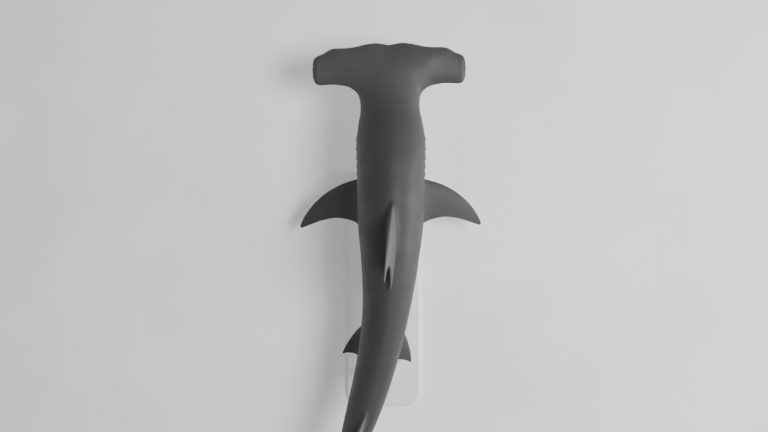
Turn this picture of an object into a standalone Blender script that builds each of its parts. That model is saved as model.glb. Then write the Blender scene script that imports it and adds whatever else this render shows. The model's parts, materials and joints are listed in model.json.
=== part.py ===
"""A great hammerhead shark, 3.1 m long, as a life-size museum model on a display stand.

The shark swims level with its head towards -Y and its tail swept towards its own left, +X.
The origin is in the middle of the stand's underside. Stations along the animal, and its
widths and heights, are in percent of its total length, the way that sharks are measured,
and PERCENT turns them into metres. Everything else is in metres and degrees.
"""

import math

import bmesh
import bpy
from mathutils import Matrix, Vector
from mathutils.bvhtree import BVHTree

TOTAL_LENGTH = 3.10
PERCENT = TOTAL_LENGTH / 100
GAP = 0.0003
WELD = 0.00003

# Where the body's axis starts, at the snout
AXIS_HEIGHT = 0.500
SNOUT_Y = -1.280
AXIS_X = -0.0275
SPINE_STEP = 0.010

# Turn of the axis towards +X at the snout, then the start, length and angle of each bend
SNOUT_TURN = -0.8
BENDS = ((4.0, 6.0, -0.9), (11.0, 11.0, 2.1), (27.9, 37.8, 18.1), (64.0, 34.0, 8.9))
# Roll of the back towards -X at stations along the body
ROLL = ((0.0, 0.0), (28.0, 0.5), (42.0, 2.0), (60.0, 8.0), (100.0, 8.0))

# Body: half width, then the levels of its top, bottom and widest line against the axis
HALF_WIDTH = (
    (1.8, 2.2), (5.0, 4.3), (8.7, 4.9), (10.6, 4.85), (12.6, 5.2), (16.5, 5.66), (22.3, 5.5),
    (28.7, 5.38), (35.2, 4.72), (45.2, 3.70), (51.6, 3.27), (58.4, 2.88), (66.0, 2.16), (70.0, 1.60),
    (74.5, 0.60),
)
TOP = (
    (1.8, -0.9), (3.2, 0.45), (6.5, 1.95), (10.0, 3.2), (16.0, 5.0), (21.0, 6.1), (26.0, 6.75),
    (31.0, 6.55), (45.0, 4.85), (55.0, 3.65), (62.0, 2.95), (68.0, 2.25), (69.4, 1.95), (70.2, 2.0),
    (74.5, 3.8),
)
BOTTOM = (
    (1.8, -2.0), (3.2, -2.9), (6.5, -3.5), (10.0, -3.95), (16.0, -5.1), (21.0, -6.1), (27.5, -6.75),
    (35.5, -6.4), (45.0, -5.1), (55.0, -3.55), (62.0, -2.7), (68.0, -1.9), (71.0, -1.5), (74.5, 1.4),
)
WIDEST = (
    (1.8, -1.45), (8.0, -1.3), (16.0, -0.8), (25.0, -0.55), (45.0, -0.15), (62.0, 0.05), (70.0, 0.2),
    (74.5, 2.6),
)
BODY_START = 1.8
BODY_END = 74.5
TOP_POWER = 1.95
BOTTOM_POWER = 2.25
BODY_SIDES = 36
RING_SPACING = 0.068

# Where thin cuts part the body
HEAD_END = 13.0
GILLS_END = 23.6
TRUNK_END = 45.0
TAIL_FRONT_END = 57.4
TAIL_REAR_END = 69.8

# Gill slits: stations, elevation of their upper and lower ends, and the flaps in front of them
GILL_SLITS = (15.8, 17.35, 18.9, 20.35, 21.6)
GILL_TOP = 13.0
GILL_FEET = (-38.0, -38.0, -36.0, -30.0, -14.0)
GILL_LIFT = 0.0035
GILL_FLAP = 0.034
GILL_DEPTH = 0.012
GILL_WIDTH = 0.008
GILL_BOW = 0.010
GILL_FADE = 9.0
GILL_REACH = 0.022
GILL_RINGS = (-0.0200, -0.0002, 0.0008, GILL_WIDTH)

# Hammer: stations of its front and rear margins, and its thickness, at distances from the middle
HAMMER_HALF_SPAN = 0.3875
HAMMER_FRONT = (
    (0.0, 0.001), (0.070, -0.010), (0.112, -0.005), (0.158, 0.006), (0.190, 0.012), (0.225, 0.0150),
    (0.262, 0.0150), (0.288, 0.0170), (0.306, 0.024), (0.322, 0.0335), (0.338, 0.0425), (0.355, 0.0495),
    (0.369, 0.0555), (0.381, 0.066), (0.3875, 0.082),
)
HAMMER_REAR = (
    (0.0, 0.330), (0.110, 0.330), (0.143, 0.285), (0.150, 0.262), (0.160, 0.243), (0.183, 0.222),
    (0.207, 0.2125), (0.240, 0.2055), (0.285, 0.1995), (0.330, 0.2005), (0.350, 0.202), (0.3705, 0.197),
    (0.3815, 0.184), (0.3875, 0.165),
)
HAMMER_UP = ((0.0, 0.084), (0.060, 0.080), (0.120, 0.068), (0.180, 0.053), (0.260, 0.039), (0.350, 0.030))
HAMMER_DOWN = ((0.0, 0.062), (0.070, 0.058), (0.130, 0.044), (0.190, 0.031), (0.260, 0.027), (0.350, 0.028))
HAMMER_PLANE = ((0.0, -0.046), (0.200, -0.046), (0.3875, -0.052))
HAMMER_ROUND_END = 0.030
HAMMER_CENTRE = 0.150
HAMMER_POINTS = 26
HAMMER_SECTIONS = 25
# Share of the chord at which a section is thickest, and the fullness of its nose: at the ends,
# and how much each changes towards the middle of the head
SECTION_THICKEST = (0.36, 0.22)
SECTION_NOSE = (2.0, -0.65)
SECTION_ROUNDING = (2.0, -0.70)

# Where the hammer meets the body, vertices closer than this are merged before the smoothing
SEAM_MERGE = 0.009
SEAM_ROUNDS = 4

# Mouth, an arch under the head with its front ahead of its two corners
MOUTH_FRONT = 0.192
MOUTH_CORNER_ACROSS = 0.108
MOUTH_CORNER_STATION = 0.300
MOUTH_ARCH = 2.1
MOUTH_STEPS = 20
MOUTH_EVENING = 3
LIP_RADIUS = 0.0130
LIP_SINK = 0.0070
MOUTH_GROOVE = 0.0055
MOUTH_RISE = 0.0010

# Nostrils, on the front edge of the hammer
NOSTRIL_INNER = 0.286
NOSTRIL_OUTER = 0.338
NOSTRIL_RADIUS = 0.0070
NOSTRIL_DROP = 0.004
NOSTRIL_STEPS = 6

# Eyes, one on each end of the hammer
EYE_ACROSS = 0.372
EYE_STATION = 0.120
EYE_LEVEL = -0.052
EYE_RADIUS = 0.020
EYE_FORWARD = 8.0
LID_OUT = 0.0140
LID_RING = 0.0172
LID_THICKNESS = 0.0036
MOUND_SIZE = (0.030, 0.026, 0.0180)
OPENING_SIZE = (0.0132, 0.0122, 0.0100)
OPENING_OUT = 0.0175

# Each fin: stations of its base, its place round the body, the lean of its plane above the
# horizontal, its span, its front and hind margins at shares of the span, its thickness at
# root and tip, how far the tip bends across the plane, and how deep the root is sunk
FINS = {
    "first_dorsal_fin": {
        "base": (26.2, 35.8), "place": 92.0, "lean": 84.7, "span": 0.445,
        "front": ((0.0, 0.0), (0.25, 0.073), (0.5, 0.145), (0.75, 0.221), (0.9, 0.272), (1.0, 0.311)),
        "hind": ((0.0, 0.298), (0.045, 0.420), (0.10, 0.345), (0.22, 0.298), (0.42, 0.279), (0.65, 0.283),
                 (0.85, 0.302), (1.0, 0.325)),
        "thick": (0.040, 0.006), "thickest": 0.42, "bend": 0.0, "root": 0.070,
    },
    "second_dorsal_fin": {
        "base": (60.2, 64.9), "place": 90.0, "lean": 79.0, "span": 0.180,
        "front": ((0.0, 0.0), (0.3, 0.050), (0.6, 0.104), (0.85, 0.152), (1.0, 0.184)),
        "hind": ((0.0, 0.152), (0.10, 0.290), (0.22, 0.206), (0.45, 0.166), (0.7, 0.170), (1.0, 0.194)),
        "thick": (0.024, 0.004), "bend": 0.0, "root": 0.045,
    },
    "anal_fin": {
        "base": (58.8, 64.2), "place": -90.0, "lean": -90.0, "span": 0.165,
        "front": ((0.0, 0.0), (0.3, 0.052), (0.6, 0.110), (0.85, 0.162), (1.0, 0.198)),
        "hind": ((0.0, 0.168), (0.10, 0.266), (0.22, 0.200), (0.5, 0.158), (0.75, 0.172), (1.0, 0.208)),
        "thick": (0.024, 0.004), "bend": 0.0, "root": 0.045,
    },
    "pectoral_fin_left": {
        "base": (21.7, 27.6), "place": -36.0, "lean": -28.0, "span": 0.398, "sweep": 0.018,
        "front": ((0.0, 0.0), (0.3, 0.026), (0.55, 0.067), (0.75, 0.120), (0.9, 0.179), (1.0, 0.236)),
        "hind": ((0.0, 0.185), (0.05, 0.252), (0.12, 0.232), (0.26, 0.214), (0.42, 0.206), (0.63, 0.216),
                 (0.82, 0.237), (1.0, 0.258)),
        "thick": (0.042, 0.006), "bend": 0.012, "root": 0.070,
    },
    "pelvic_fin_left": {
        "base": (46.3, 50.7), "place": -58.0, "lean": -38.0, "span": 0.142, "sweep": 0.012,
        "front": ((0.0, 0.0), (0.25, 0.013), (0.5, 0.041), (0.75, 0.089), (0.9, 0.127), (1.0, 0.159)),
        "hind": ((0.0, 0.138), (0.09, 0.203), (0.3, 0.174), (0.5, 0.164), (0.75, 0.163), (1.0, 0.172)),
        "thick": (0.026, 0.004), "bend": 0.006, "root": 0.045,
    },
}
# How the paired fins on the right differ from the mirror image of those on the left
RIGHT_FINS = {
    "pectoral_fin_right": {"lean": -154.5, "sweep": -0.007},
    "pelvic_fin_right": {"place": 231.0, "lean": -156.0, "sweep": -0.007},
}
FIN_POINTS = 18
FIN_MIN_THICKNESS = 0.0022
FIN_THICKEST = 0.32
FIN_TAPER = 1.15
HIND_FULLNESS = 1.5
FLARE_REACH = 0.022
FLARE_CHORD = 0.012
FLARE_THICKNESS = 0.45

# Tail fin: both lobes lie in the upright plane through CAUDAL_STATION, and each is set by
# its start in that plane (rearward, up), its angle above the horizontal and its span
CAUDAL_STATION = 70.0
UPPER_LOBE = {
    "start": (0.0, 0.058), "angle": 31.0, "span": 0.880, "chord_sign": 1,
    "front": ((-0.06, 0.012), (0.0, 0.0), (0.3, -0.008), (0.6, -0.010), (0.85, 0.0), (0.95, 0.012),
              (1.0, 0.024)),
    "hind": ((-0.06, 0.105), (0.0, 0.150), (0.12, 0.176), (0.22, 0.152), (0.4, 0.134), (0.6, 0.112),
             (0.78, 0.084), (0.825, 0.070), (0.845, 0.066), (0.87, 0.092), (0.93, 0.072), (1.0, 0.034)),
    "thick": (0.066, 0.006), "thickest": 0.30,
}
LOWER_LOBE = {
    "start": (0.015, -0.036), "angle": -52.0, "span": 0.415, "chord_sign": -1,
    "front": ((-0.16, 0.02), (0.0, -0.004), (0.4, -0.012), (0.8, -0.002), (1.0, 0.012)),
    "hind": ((-0.16, 0.235), (0.0, 0.262), (0.16, 0.236), (0.35, 0.168), (0.6, 0.104), (0.85, 0.052),
             (1.0, 0.024)),
    "thick": (0.040, 0.005), "thickest": 0.34,
}
LOBE_SECTIONS = 13
LOBE_TAPER = 1.3
# The cut between the lobes runs from one point of that plane to another
LOBE_CUT = ((0.0, -0.020), (0.250, 0.032))

# Display stand
BASE_LENGTH = 1.30
BASE_WIDTH = 0.40
BASE_THICKNESS = 0.030
BASE_CORNER = 0.080
BASE_BEVEL = 0.006
ROD_STATIONS = {"stand_rod_front": 28.0, "stand_rod_rear": 55.8}
FLANGE_RADIUS = 0.045
FLANGE_THICKNESS = 0.008
FLANGE_NECK = 0.011
ROD_RADIUS = 0.016
ROD_HEAD_RADIUS = 0.028
ROD_HEAD_HEIGHT = 0.055
ROD_SIDES = 24
ROD_OVERRUN = 0.100

# Colour, roughness and metallic value
SKIN_FINISH = ((0.105, 0.106, 0.108, 1.0), 0.42, 0.0)
EYE_FINISH = ((0.012, 0.012, 0.013, 1.0), 0.08, 0.0)
BASE_FINISH = ((0.74, 0.73, 0.71, 1.0), 0.50, 0.0)
ROD_FINISH = ((0.60, 0.61, 0.62, 1.0), 0.28, 1.0)
SHARP_ANGLE = 40.0


class Profile:
    """A smooth curve through (place, value) pairs that doesn't overshoot them."""

    def __init__(self, pairs, unit=1.0):
        self.places = [place * unit for place, _ in pairs]
        self.values = [value * unit for _, value in pairs]
        rises = [
            (self.values[i + 1] - self.values[i]) / (self.places[i + 1] - self.places[i])
            for i in range(len(pairs) - 1)
        ]
        self.slopes = [rises[0]]
        for before, after in zip(rises, rises[1:]):
            turning = before * after <= 0
            self.slopes.append(0.0 if turning else 2 * before * after / (before + after))
        self.slopes.append(rises[-1])

    def __call__(self, at):
        if at <= self.places[0]:
            return self.values[0]
        if at >= self.places[-1]:
            return self.values[-1]
        i = next(k for k in range(len(self.places) - 1) if at <= self.places[k + 1])
        width = self.places[i + 1] - self.places[i]
        t = (at - self.places[i]) / width
        return (
            (1 + 2 * t) * (1 - t) ** 2 * self.values[i]
            + t * (1 - t) ** 2 * width * self.slopes[i]
            + t * t * (3 - 2 * t) * self.values[i + 1]
            + t * t * (t - 1) * width * self.slopes[i + 1]
        )


half_width = Profile(HALF_WIDTH, PERCENT)
top_level = Profile(TOP, PERCENT)
bottom_level = Profile(BOTTOM, PERCENT)
widest_level = Profile(WIDEST, PERCENT)
roll_degrees = Profile(ROLL)
hammer_front = Profile(HAMMER_FRONT)
hammer_rear = Profile(HAMMER_REAR)
hammer_up = Profile(HAMMER_UP)
hammer_down = Profile(HAMMER_DOWN)
hammer_plane = Profile(HAMMER_PLANE)


def smooth_step(low, high, value):
    t = min(1.0, max(0.0, (value - low) / (high - low)))
    return t * t * (3 - 2 * t)


def signed_power(value, power):
    return math.copysign(abs(value) ** power, value)


def heading(station):
    """The axis's turn towards +X at a station in metres, in radians."""
    bends = (
        angle * smooth_step(start, start + length, station / PERCENT)
        for start, length, angle in BENDS
    )
    return math.radians(SNOUT_TURN + sum(bends))


def axis_points():
    """The body's axis as points one step apart, from the snout back."""
    points = [Vector((AXIS_X, SNOUT_Y, AXIS_HEIGHT))]
    for i in range(int(TOTAL_LENGTH / SPINE_STEP) + 1):
        turn = heading((i + 0.5) * SPINE_STEP)
        points.append(points[-1] + SPINE_STEP * Vector((math.sin(turn), math.cos(turn), 0.0)))
    return points


AXIS = axis_points()


def axis_frame(station):
    """(point, rearward, towards +X, up) of the axis at a station in metres, rolled with the body."""
    i = min(int(station / SPINE_STEP), len(AXIS) - 2)
    point = AXIS[i].lerp(AXIS[i + 1], station / SPINE_STEP - i)
    turn = heading(station)
    back = Vector((math.sin(turn), math.cos(turn), 0.0))
    side = Vector((math.cos(turn), -math.sin(turn), 0.0))
    roll = Matrix.Rotation(-math.radians(roll_degrees(station / PERCENT)), 3, back)
    return point, back, roll @ side, roll @ Vector((0.0, 0.0, 1.0))


def slit_reach(foot):
    """(middle, half height) in degrees of elevation of a gill slit with this lower end."""
    return (GILL_TOP + foot) / 2, (GILL_TOP - foot) / 2


def gill_move(station, elevation):
    """How far the gill flaps lift the skin, or their slits sink it, at a place on the flank."""
    move = 0.0
    for slit, foot in zip(GILL_SLITS, GILL_FEET):
        middle, reach = slit_reach(foot)
        off = (elevation - middle) / reach
        seen = 1 - smooth_step(1 - GILL_FADE / reach, 1.0, abs(off))
        behind = station - slit * PERCENT - GILL_BOW * off * off
        if behind <= 0:
            move += seen * GILL_LIFT * smooth_step(-GILL_FLAP, 0.0, behind)
        elif behind < GILL_WIDTH:
            move -= seen * GILL_DEPTH * (1 - behind / GILL_WIDTH)
    return move


def body_point(station, around, grow=0.0):
    """The skin at a station in metres, this many degrees round from the +X flank over the back."""
    point, _, side, up = axis_frame(station)
    level = widest_level(station)
    across, high = math.cos(math.radians(around)), math.sin(math.radians(around))
    upper = high >= 0
    power = 2 / (TOP_POWER if upper else BOTTOM_POWER)
    rise = (top_level(station) - level) if upper else (level - bottom_level(station))
    out = grow + gill_move(station, math.degrees(math.asin(high)))
    out_side = signed_power(across, power) * (half_width(station) + out)
    out_up = level + signed_power(high, power) * (rise + out)
    return point + out_side * side + out_up * up


def ring_stations(start, end):
    """Stations of the body's rings between two, closer round each gill slit."""
    count = max(3, round((end - start) / RING_SPACING))
    found = [start + (end - start) * i / count for i in range(count + 1)]
    for slit in GILL_SLITS:
        at = slit * PERCENT
        if start < at < end:
            found = [s for s in found if abs(s - at) > GILL_REACH or s in (start, end)]
            found += [at + step for step in GILL_RINGS]
    return sorted(found)


def ring_skew(station, elevation):
    """How far a ring's point lies behind its station, so that the rings follow the slits."""
    slit, foot = min(zip(GILL_SLITS, GILL_FEET), key=lambda pair: abs(pair[0] * PERCENT - station))
    middle, reach = slit_reach(foot)
    off = max(-1.0, min(1.0, (elevation - middle) / reach))
    near = 1 - smooth_step(GILL_REACH, 2 * GILL_REACH, abs(slit * PERCENT - station))
    return near * GILL_BOW * off * off


def new_object(name, bm):
    """Turns a bmesh into an object in the scene, with its faces pointing out."""
    bmesh.ops.recalc_face_normals(bm, faces=bm.faces)
    if bm.calc_volume(signed=True) < 0:
        bmesh.ops.reverse_faces(bm, faces=bm.faces)
    mesh = bpy.data.meshes.new(name)
    bm.to_mesh(mesh)
    bm.free()
    obj = bpy.data.objects.new(name, mesh)
    bpy.context.scene.collection.objects.link(obj)
    return obj


def loft(name, rings, mirrored_split=False):
    """A closed mesh in triangles through rings with as many points each, with flat ends.

    With mirrored_split the second half of each ring is split as the mirror of the first.
    """
    bm = bmesh.new()
    rows = [[bm.verts.new(p) for p in ring] for ring in rings]
    sides = len(rings[0])
    for row, after in zip(rows, rows[1:]):
        for j in range(sides):
            a, b, c, d = row[j], row[(j + 1) % sides], after[(j + 1) % sides], after[j]
            other = mirrored_split and j >= sides // 2
            faces = ((a, b, d), (b, c, d)) if other else ((a, b, c), (a, c, d))
            for corners in faces:
                bm.faces.new(corners)
    bm.faces.new(rows[0])
    bm.faces.new(rows[-1])
    return new_object(name, bm)


def body_loft(name, cuts, grow=0.0):
    """The body from the first of these stations in metres to the last, as a solid with flat ends."""
    stations = {s for start, end in zip(cuts, cuts[1:]) for s in ring_stations(start, end)}
    rings = []
    for station in sorted(stations):
        ring = []
        for j in range(BODY_SIDES):
            around = 360 * j / BODY_SIDES
            elevation = math.degrees(math.asin(math.sin(math.radians(around))))
            skew = 0.0 if station in cuts else ring_skew(station, elevation)
            ring.append(body_point(station + skew, around, grow))
        rings.append(ring)
    return loft(name, rings)


def evaluated_mesh(obj):
    graph = bpy.context.evaluated_depsgraph_get()
    return bpy.data.meshes.new_from_object(obj.evaluated_get(graph))


def combine(obj, others, operation):
    """Joins other solids to obj, or cuts them from it, in one Boolean, and removes them."""
    pieces = bpy.data.collections.new("pieces")
    bpy.context.scene.collection.children.link(pieces)
    for other in others:
        pieces.objects.link(other)
    modifier = obj.modifiers.new(operation.lower(), "BOOLEAN")
    modifier.operation = operation
    modifier.operand_type = "COLLECTION"
    modifier.collection = pieces
    mesh = evaluated_mesh(obj)
    obj.modifiers.clear()
    obj.data = mesh
    for other in others:
        bpy.data.objects.remove(other)
    bpy.data.collections.remove(pieces)
    keep_largest(obj)


def keep_largest(obj):
    """Welds the points that a cut left next to each other, and drops all but the largest surface."""
    bm = bmesh.new()
    bm.from_mesh(obj.data)
    bmesh.ops.remove_doubles(bm, verts=bm.verts, dist=WELD)
    bmesh.ops.dissolve_degenerate(bm, edges=bm.edges, dist=WELD)
    left = set(bm.verts)
    surfaces = []
    while left:
        surface, queue = [], [left.pop()]
        while queue:
            vert = queue.pop()
            surface.append(vert)
            found = {edge.other_vert(vert) for edge in vert.link_edges} & left
            left -= found
            queue += found
        surfaces.append(surface)
    surfaces.sort(key=len)
    loose = [vert for surface in surfaces[:-1] for vert in surface]
    bmesh.ops.delete(bm, geom=loose, context="VERTS")
    bm.to_mesh(obj.data)
    bm.free()


def half_space(point, normal):
    """A large box that fills the side of a plane that its normal points to."""
    size = 2 * TOTAL_LENGTH
    bm = bmesh.new()
    bmesh.ops.create_cube(bm, size=size)
    turn = Vector(normal).to_track_quat("Z", "Y").to_matrix().to_4x4()
    lift = Matrix.Translation((0.0, 0.0, size / 2))
    bmesh.ops.transform(bm, verts=bm.verts, matrix=Matrix.Translation(point) @ turn @ lift)
    return new_object("half_space", bm)


def head_place(across, station, level):
    """A point of the head, from its distance across, station and level in metres."""
    point, back, side, up = axis_frame(0.0)
    return point + across * side + station * back + level * up


def hammer_section(across):
    """The hammer's outline in an upright plane at a distance from the middle, front first."""
    u = abs(across)
    front, rear = hammer_front(u), hammer_rear(u)
    end = max(0.0, (u - HAMMER_HALF_SPAN + HAMMER_ROUND_END) / HAMMER_ROUND_END)
    shrink = math.sqrt(max(0.0, 1 - (0.97 * end) ** 2.4))
    central = 1 - smooth_step(0.0, HAMMER_CENTRE, u)
    thickest, nose, rounding = (
        outer + change * central for outer, change in (SECTION_THICKEST, SECTION_NOSE, SECTION_ROUNDING)
    )
    half = HAMMER_POINTS // 2
    points = []
    for j in range(HAMMER_POINTS):
        above = j <= half
        share = (j if above else HAMMER_POINTS - j) / half
        along = 0.5 - 0.5 * math.cos(math.pi * share)
        if along < thickest:
            rise = (1 - (1 - along / thickest) ** nose) ** (1 / rounding)
        else:
            rise = max(0.0, 1 - ((along - thickest) / (1 - thickest)) ** 2.6) ** 0.75
        height = shrink * (hammer_up(u) if above else -hammer_down(u))
        points.append(head_place(across, front + along * (rear - front), hammer_plane(u) + rise * height))
    return points


def hammer():
    """The wide head as a wing through sections from one end to the other."""
    sections = []
    for i in range(HAMMER_SECTIONS):
        share = 2 * i / (HAMMER_SECTIONS - 1) - 1
        spread = 0.6 * math.sin(share * math.pi / 2) + 0.4 * share
        sections.append(hammer_section(spread * HAMMER_HALF_SPAN))
    return loft("hammer", sections, mirrored_split=True)


def relax(obj, accepts, rounds):
    """Evens the mesh at the places that accepts, so that joined forms flow together."""
    bm = bmesh.new()
    bm.from_mesh(obj.data)
    bmesh.ops.triangulate(bm, faces=bm.faces)
    chosen = [v for v in bm.verts if accepts(v.co)]
    bmesh.ops.remove_doubles(bm, verts=chosen, dist=SEAM_MERGE)
    chosen = [v for v in bm.verts if accepts(v.co)]
    inside = set(chosen)
    faces = [f for f in bm.faces if inside.issuperset(f.verts)]
    edges = [e for e in bm.edges if inside.issuperset(e.verts)]
    bmesh.ops.beautify_fill(bm, faces=faces, edges=edges)
    for _ in range(rounds):
        bmesh.ops.smooth_vert(
            bm, verts=chosen, factor=0.5, use_axis_x=True, use_axis_y=True, use_axis_z=True
        )
    bm.to_mesh(obj.data)
    bm.free()


def tube(name, points, radius):
    """A closed round tube along points that thins towards both its ends."""
    curve = bpy.data.curves.new(name, "CURVE")
    curve.dimensions = "3D"
    curve.bevel_depth = radius
    curve.bevel_resolution = 2
    curve.use_fill_caps = True
    spline = curve.splines.new("POLY")
    spline.points.add(len(points) - 1)
    for i, p in enumerate(points):
        spline.points[i].co = (*p, 1.0)
        spline.points[i].radius = 0.3 + 0.7 * math.sin(math.pi * i / (len(points) - 1)) ** 0.5
    drawn = bpy.data.objects.new(name, curve)
    bpy.context.scene.collection.objects.link(drawn)
    bm = bmesh.new()
    bm.from_mesh(evaluated_mesh(drawn))
    bpy.data.objects.remove(drawn)
    bmesh.ops.remove_doubles(bm, verts=bm.verts, dist=1e-6)
    return new_object(name, bm)


def mouth_line(surface, sink):
    """Points along the arch of the mouth, sunk this far into the underside of the head."""
    hits, normals = [], []
    for i in range(MOUTH_STEPS + 1):
        share = 2 * i / MOUTH_STEPS - 1
        station = MOUTH_FRONT + (MOUTH_CORNER_STATION - MOUTH_FRONT) * abs(share) ** MOUTH_ARCH
        below = head_place(share * MOUTH_CORNER_ACROSS, station, -AXIS_HEIGHT)
        hit, normal, _, _ = surface.ray_cast(below, Vector((0.0, 0.0, 1.0)))
        hits.append(hit)
        normals.append(normal)
    points = []
    for i, hit in enumerate(hits):
        around = sum(normals[max(0, i - MOUTH_EVENING):i + MOUTH_EVENING + 1], Vector())
        points.append(hit - sink * around.normalized())
    return points


def nostril_line(sign):
    """Points along one nostril, just under the hammer's front edge."""
    points = []
    for i in range(NOSTRIL_STEPS + 1):
        across = NOSTRIL_INNER + (NOSTRIL_OUTER - NOSTRIL_INNER) * i / NOSTRIL_STEPS
        points.append(head_place(sign * across, hammer_front(across), hammer_plane(across) - NOSTRIL_DROP))
    return points


def eye_place(sign):
    """(place, rotation) of an eye, its local Z pointing out of the head; sign is 1 on the left."""
    outward = Matrix.Rotation(math.radians(-sign * EYE_FORWARD), 3, "Z") @ Vector((sign, 0.0, 0.0))
    return head_place(sign * EYE_ACROSS, EYE_STATION, EYE_LEVEL), outward.to_track_quat("Z", "Y")


def ball(name, size, segments=16, rings=10):
    """A ball with a radius along each axis, round its own origin."""
    bm = bmesh.new()
    bmesh.ops.create_uvsphere(bm, u_segments=segments, v_segments=rings, radius=1.0)
    bmesh.ops.scale(bm, verts=bm.verts, vec=size)
    return new_object(name, bm)


def lid_ring(name):
    """The rim of both eyelids, a ring that lies round local Z at the eye's opening."""
    bm = bmesh.new()
    turn = Matrix.Rotation(math.pi / 2, 4, "X")
    place = Matrix.Translation((LID_RING, 0.0, LID_OUT))
    bmesh.ops.create_circle(bm, segments=6, radius=LID_THICKNESS, matrix=place @ turn)
    bmesh.ops.spin(
        bm, geom=bm.verts[:] + bm.edges[:], axis=(0.0, 0.0, 1.0), steps=16, angle=2 * math.pi,
        use_merge=True,
    )
    bmesh.ops.remove_doubles(bm, verts=bm.verts, dist=1e-6)
    return new_object(name, bm)


def set_place(obj, place, rotation):
    """Puts an object at a place, turned by a quaternion."""
    obj.location = place
    obj.rotation_mode = "QUATERNION"
    obj.rotation_quaternion = rotation
    return obj


def head():
    """Hammer and front of the body in one, with mouth, lips, nostrils, lids and eye sockets."""
    end = HEAD_END * PERCENT
    obj = body_loft("head", (BODY_START * PERCENT, end))
    combine(obj, [hammer()], "UNION")
    neck = head_place(0.0, 0.0, 0.0)
    relax(obj, lambda p: 0.13 < p.y - neck.y < end - 0.05 and abs(p.x - neck.x) < 0.21, SEAM_ROUNDS)
    bm = bmesh.new()
    bm.from_mesh(obj.data)
    surface = BVHTree.FromBMesh(bm)
    bm.free()
    added = [tube("lips", mouth_line(surface, LIP_SINK), LIP_RADIUS)]
    cut = [tube("mouth", mouth_line(surface, -MOUTH_RISE), MOUTH_GROOVE)]
    out = Vector((0.0, 0.0, OPENING_OUT))
    for sign in (1, -1):
        place, rotation = eye_place(sign)
        added.append(set_place(ball("mound", MOUND_SIZE), place, rotation))
        added.append(set_place(lid_ring("lids"), place, rotation))
        cut.append(set_place(ball("socket", [EYE_RADIUS + GAP] * 3), place, rotation))
        cut.append(set_place(ball("opening", OPENING_SIZE), place + rotation @ out, rotation))
        cut.append(tube("nostril", nostril_line(sign), NOSTRIL_RADIUS))
    combine(obj, added, "UNION")
    combine(obj, cut, "DIFFERENCE")


def eyes():
    for name, sign in (("eye_left", 1), ("eye_right", -1)):
        place, rotation = eye_place(sign)
        set_place(ball(name, [EYE_RADIUS] * 3), place, rotation)


def blade_section(place, chord, normal, front, hind, thickness, thickest):
    """One section of a fin as points round it: nose, one face to the hind edge, and back."""
    half = FIN_POINTS // 2
    edge = FIN_MIN_THICKNESS / 2
    faces = ([], [])
    for j in range(1, half + 1):
        along = 0.5 - 0.5 * math.cos(math.pi * j / half)
        if along < thickest:
            rise = math.sqrt(1 - (1 - along / thickest) ** 2)
        else:
            rise = 1 - ((along - thickest) / (1 - thickest)) ** HIND_FULLNESS
        out = max(rise * thickness / 2, edge)
        for face, sign in zip(faces, (1, -1)):
            face.append(place + (front + along * (hind - front)) * chord + sign * out * normal)
    return [place + front * chord] + faces[0] + faces[1][::-1]


def fin_shares(fin):
    """Shares of the span at which a fin has sections: where its hind margin turns, and between."""
    turns = [share for share, _ in fin["hind"]]
    between = [(low + high) / 2 for low, high in zip(turns, turns[1:])]
    return [-fin["root"] / fin["span"]] + sorted(turns + between)


def fin_solid(name, fin):
    """A fin with its root sunk in the body."""
    first, last = (station * PERCENT for station in fin["base"])
    start = body_point(first, fin["place"])
    chord = (body_point(last, fin["place"]) - start).normalized()
    _, _, side, up = axis_frame((first + last) / 2)
    lean = math.radians(fin["lean"])
    outward = math.cos(lean) * side + math.sin(lean) * up
    outward = (outward - outward.dot(chord) * chord).normalized()
    normal = chord.cross(outward)
    front, hind = Profile(fin["front"]), Profile(fin["hind"])
    root_thick, tip_thick = fin["thick"]
    sections = []
    for share in fin_shares(fin):
        above = max(share, 0.0)
        flare = math.exp(-above * fin["span"] / FLARE_REACH)
        thickness = tip_thick + (root_thick - tip_thick) * (1 - above) ** FIN_TAPER
        place = start + share * fin["span"] * outward
        place += fin.get("sweep", 0.0) * above * chord + fin["bend"] * above**2 * normal
        sections.append(
            blade_section(
                place, chord, normal, front(share) - FLARE_CHORD * flare, hind(share),
                thickness * (1 + FLARE_THICKNESS * flare), fin.get("thickest", FIN_THICKEST),
            )
        )
    return loft(name, sections, mirrored_split=True)


def mirrored(fin):
    """The same fin on the shark's other side."""
    return {**fin, "place": 180 - fin["place"], "lean": 180 - fin["lean"], "bend": -fin["bend"]}


def fins():
    """Every fin but the tail's, cut to fit the body that it grows from."""
    shapes = dict(FINS)
    for name, changes in RIGHT_FINS.items():
        shapes[name] = {**mirrored(FINS[name.replace("right", "left")]), **changes}
    for name, fin in shapes.items():
        combine(fin_solid(name, fin), [whole_body()], "DIFFERENCE")


def whole_body():
    """The body from snout to tail, grown by the gap, to cut what touches it."""
    cuts = (BODY_START, HEAD_END, GILLS_END, TRUNK_END, TAIL_FRONT_END, TAIL_REAR_END, BODY_END)
    return body_loft("whole_body", [cut * PERCENT for cut in cuts], grow=GAP)


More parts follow.
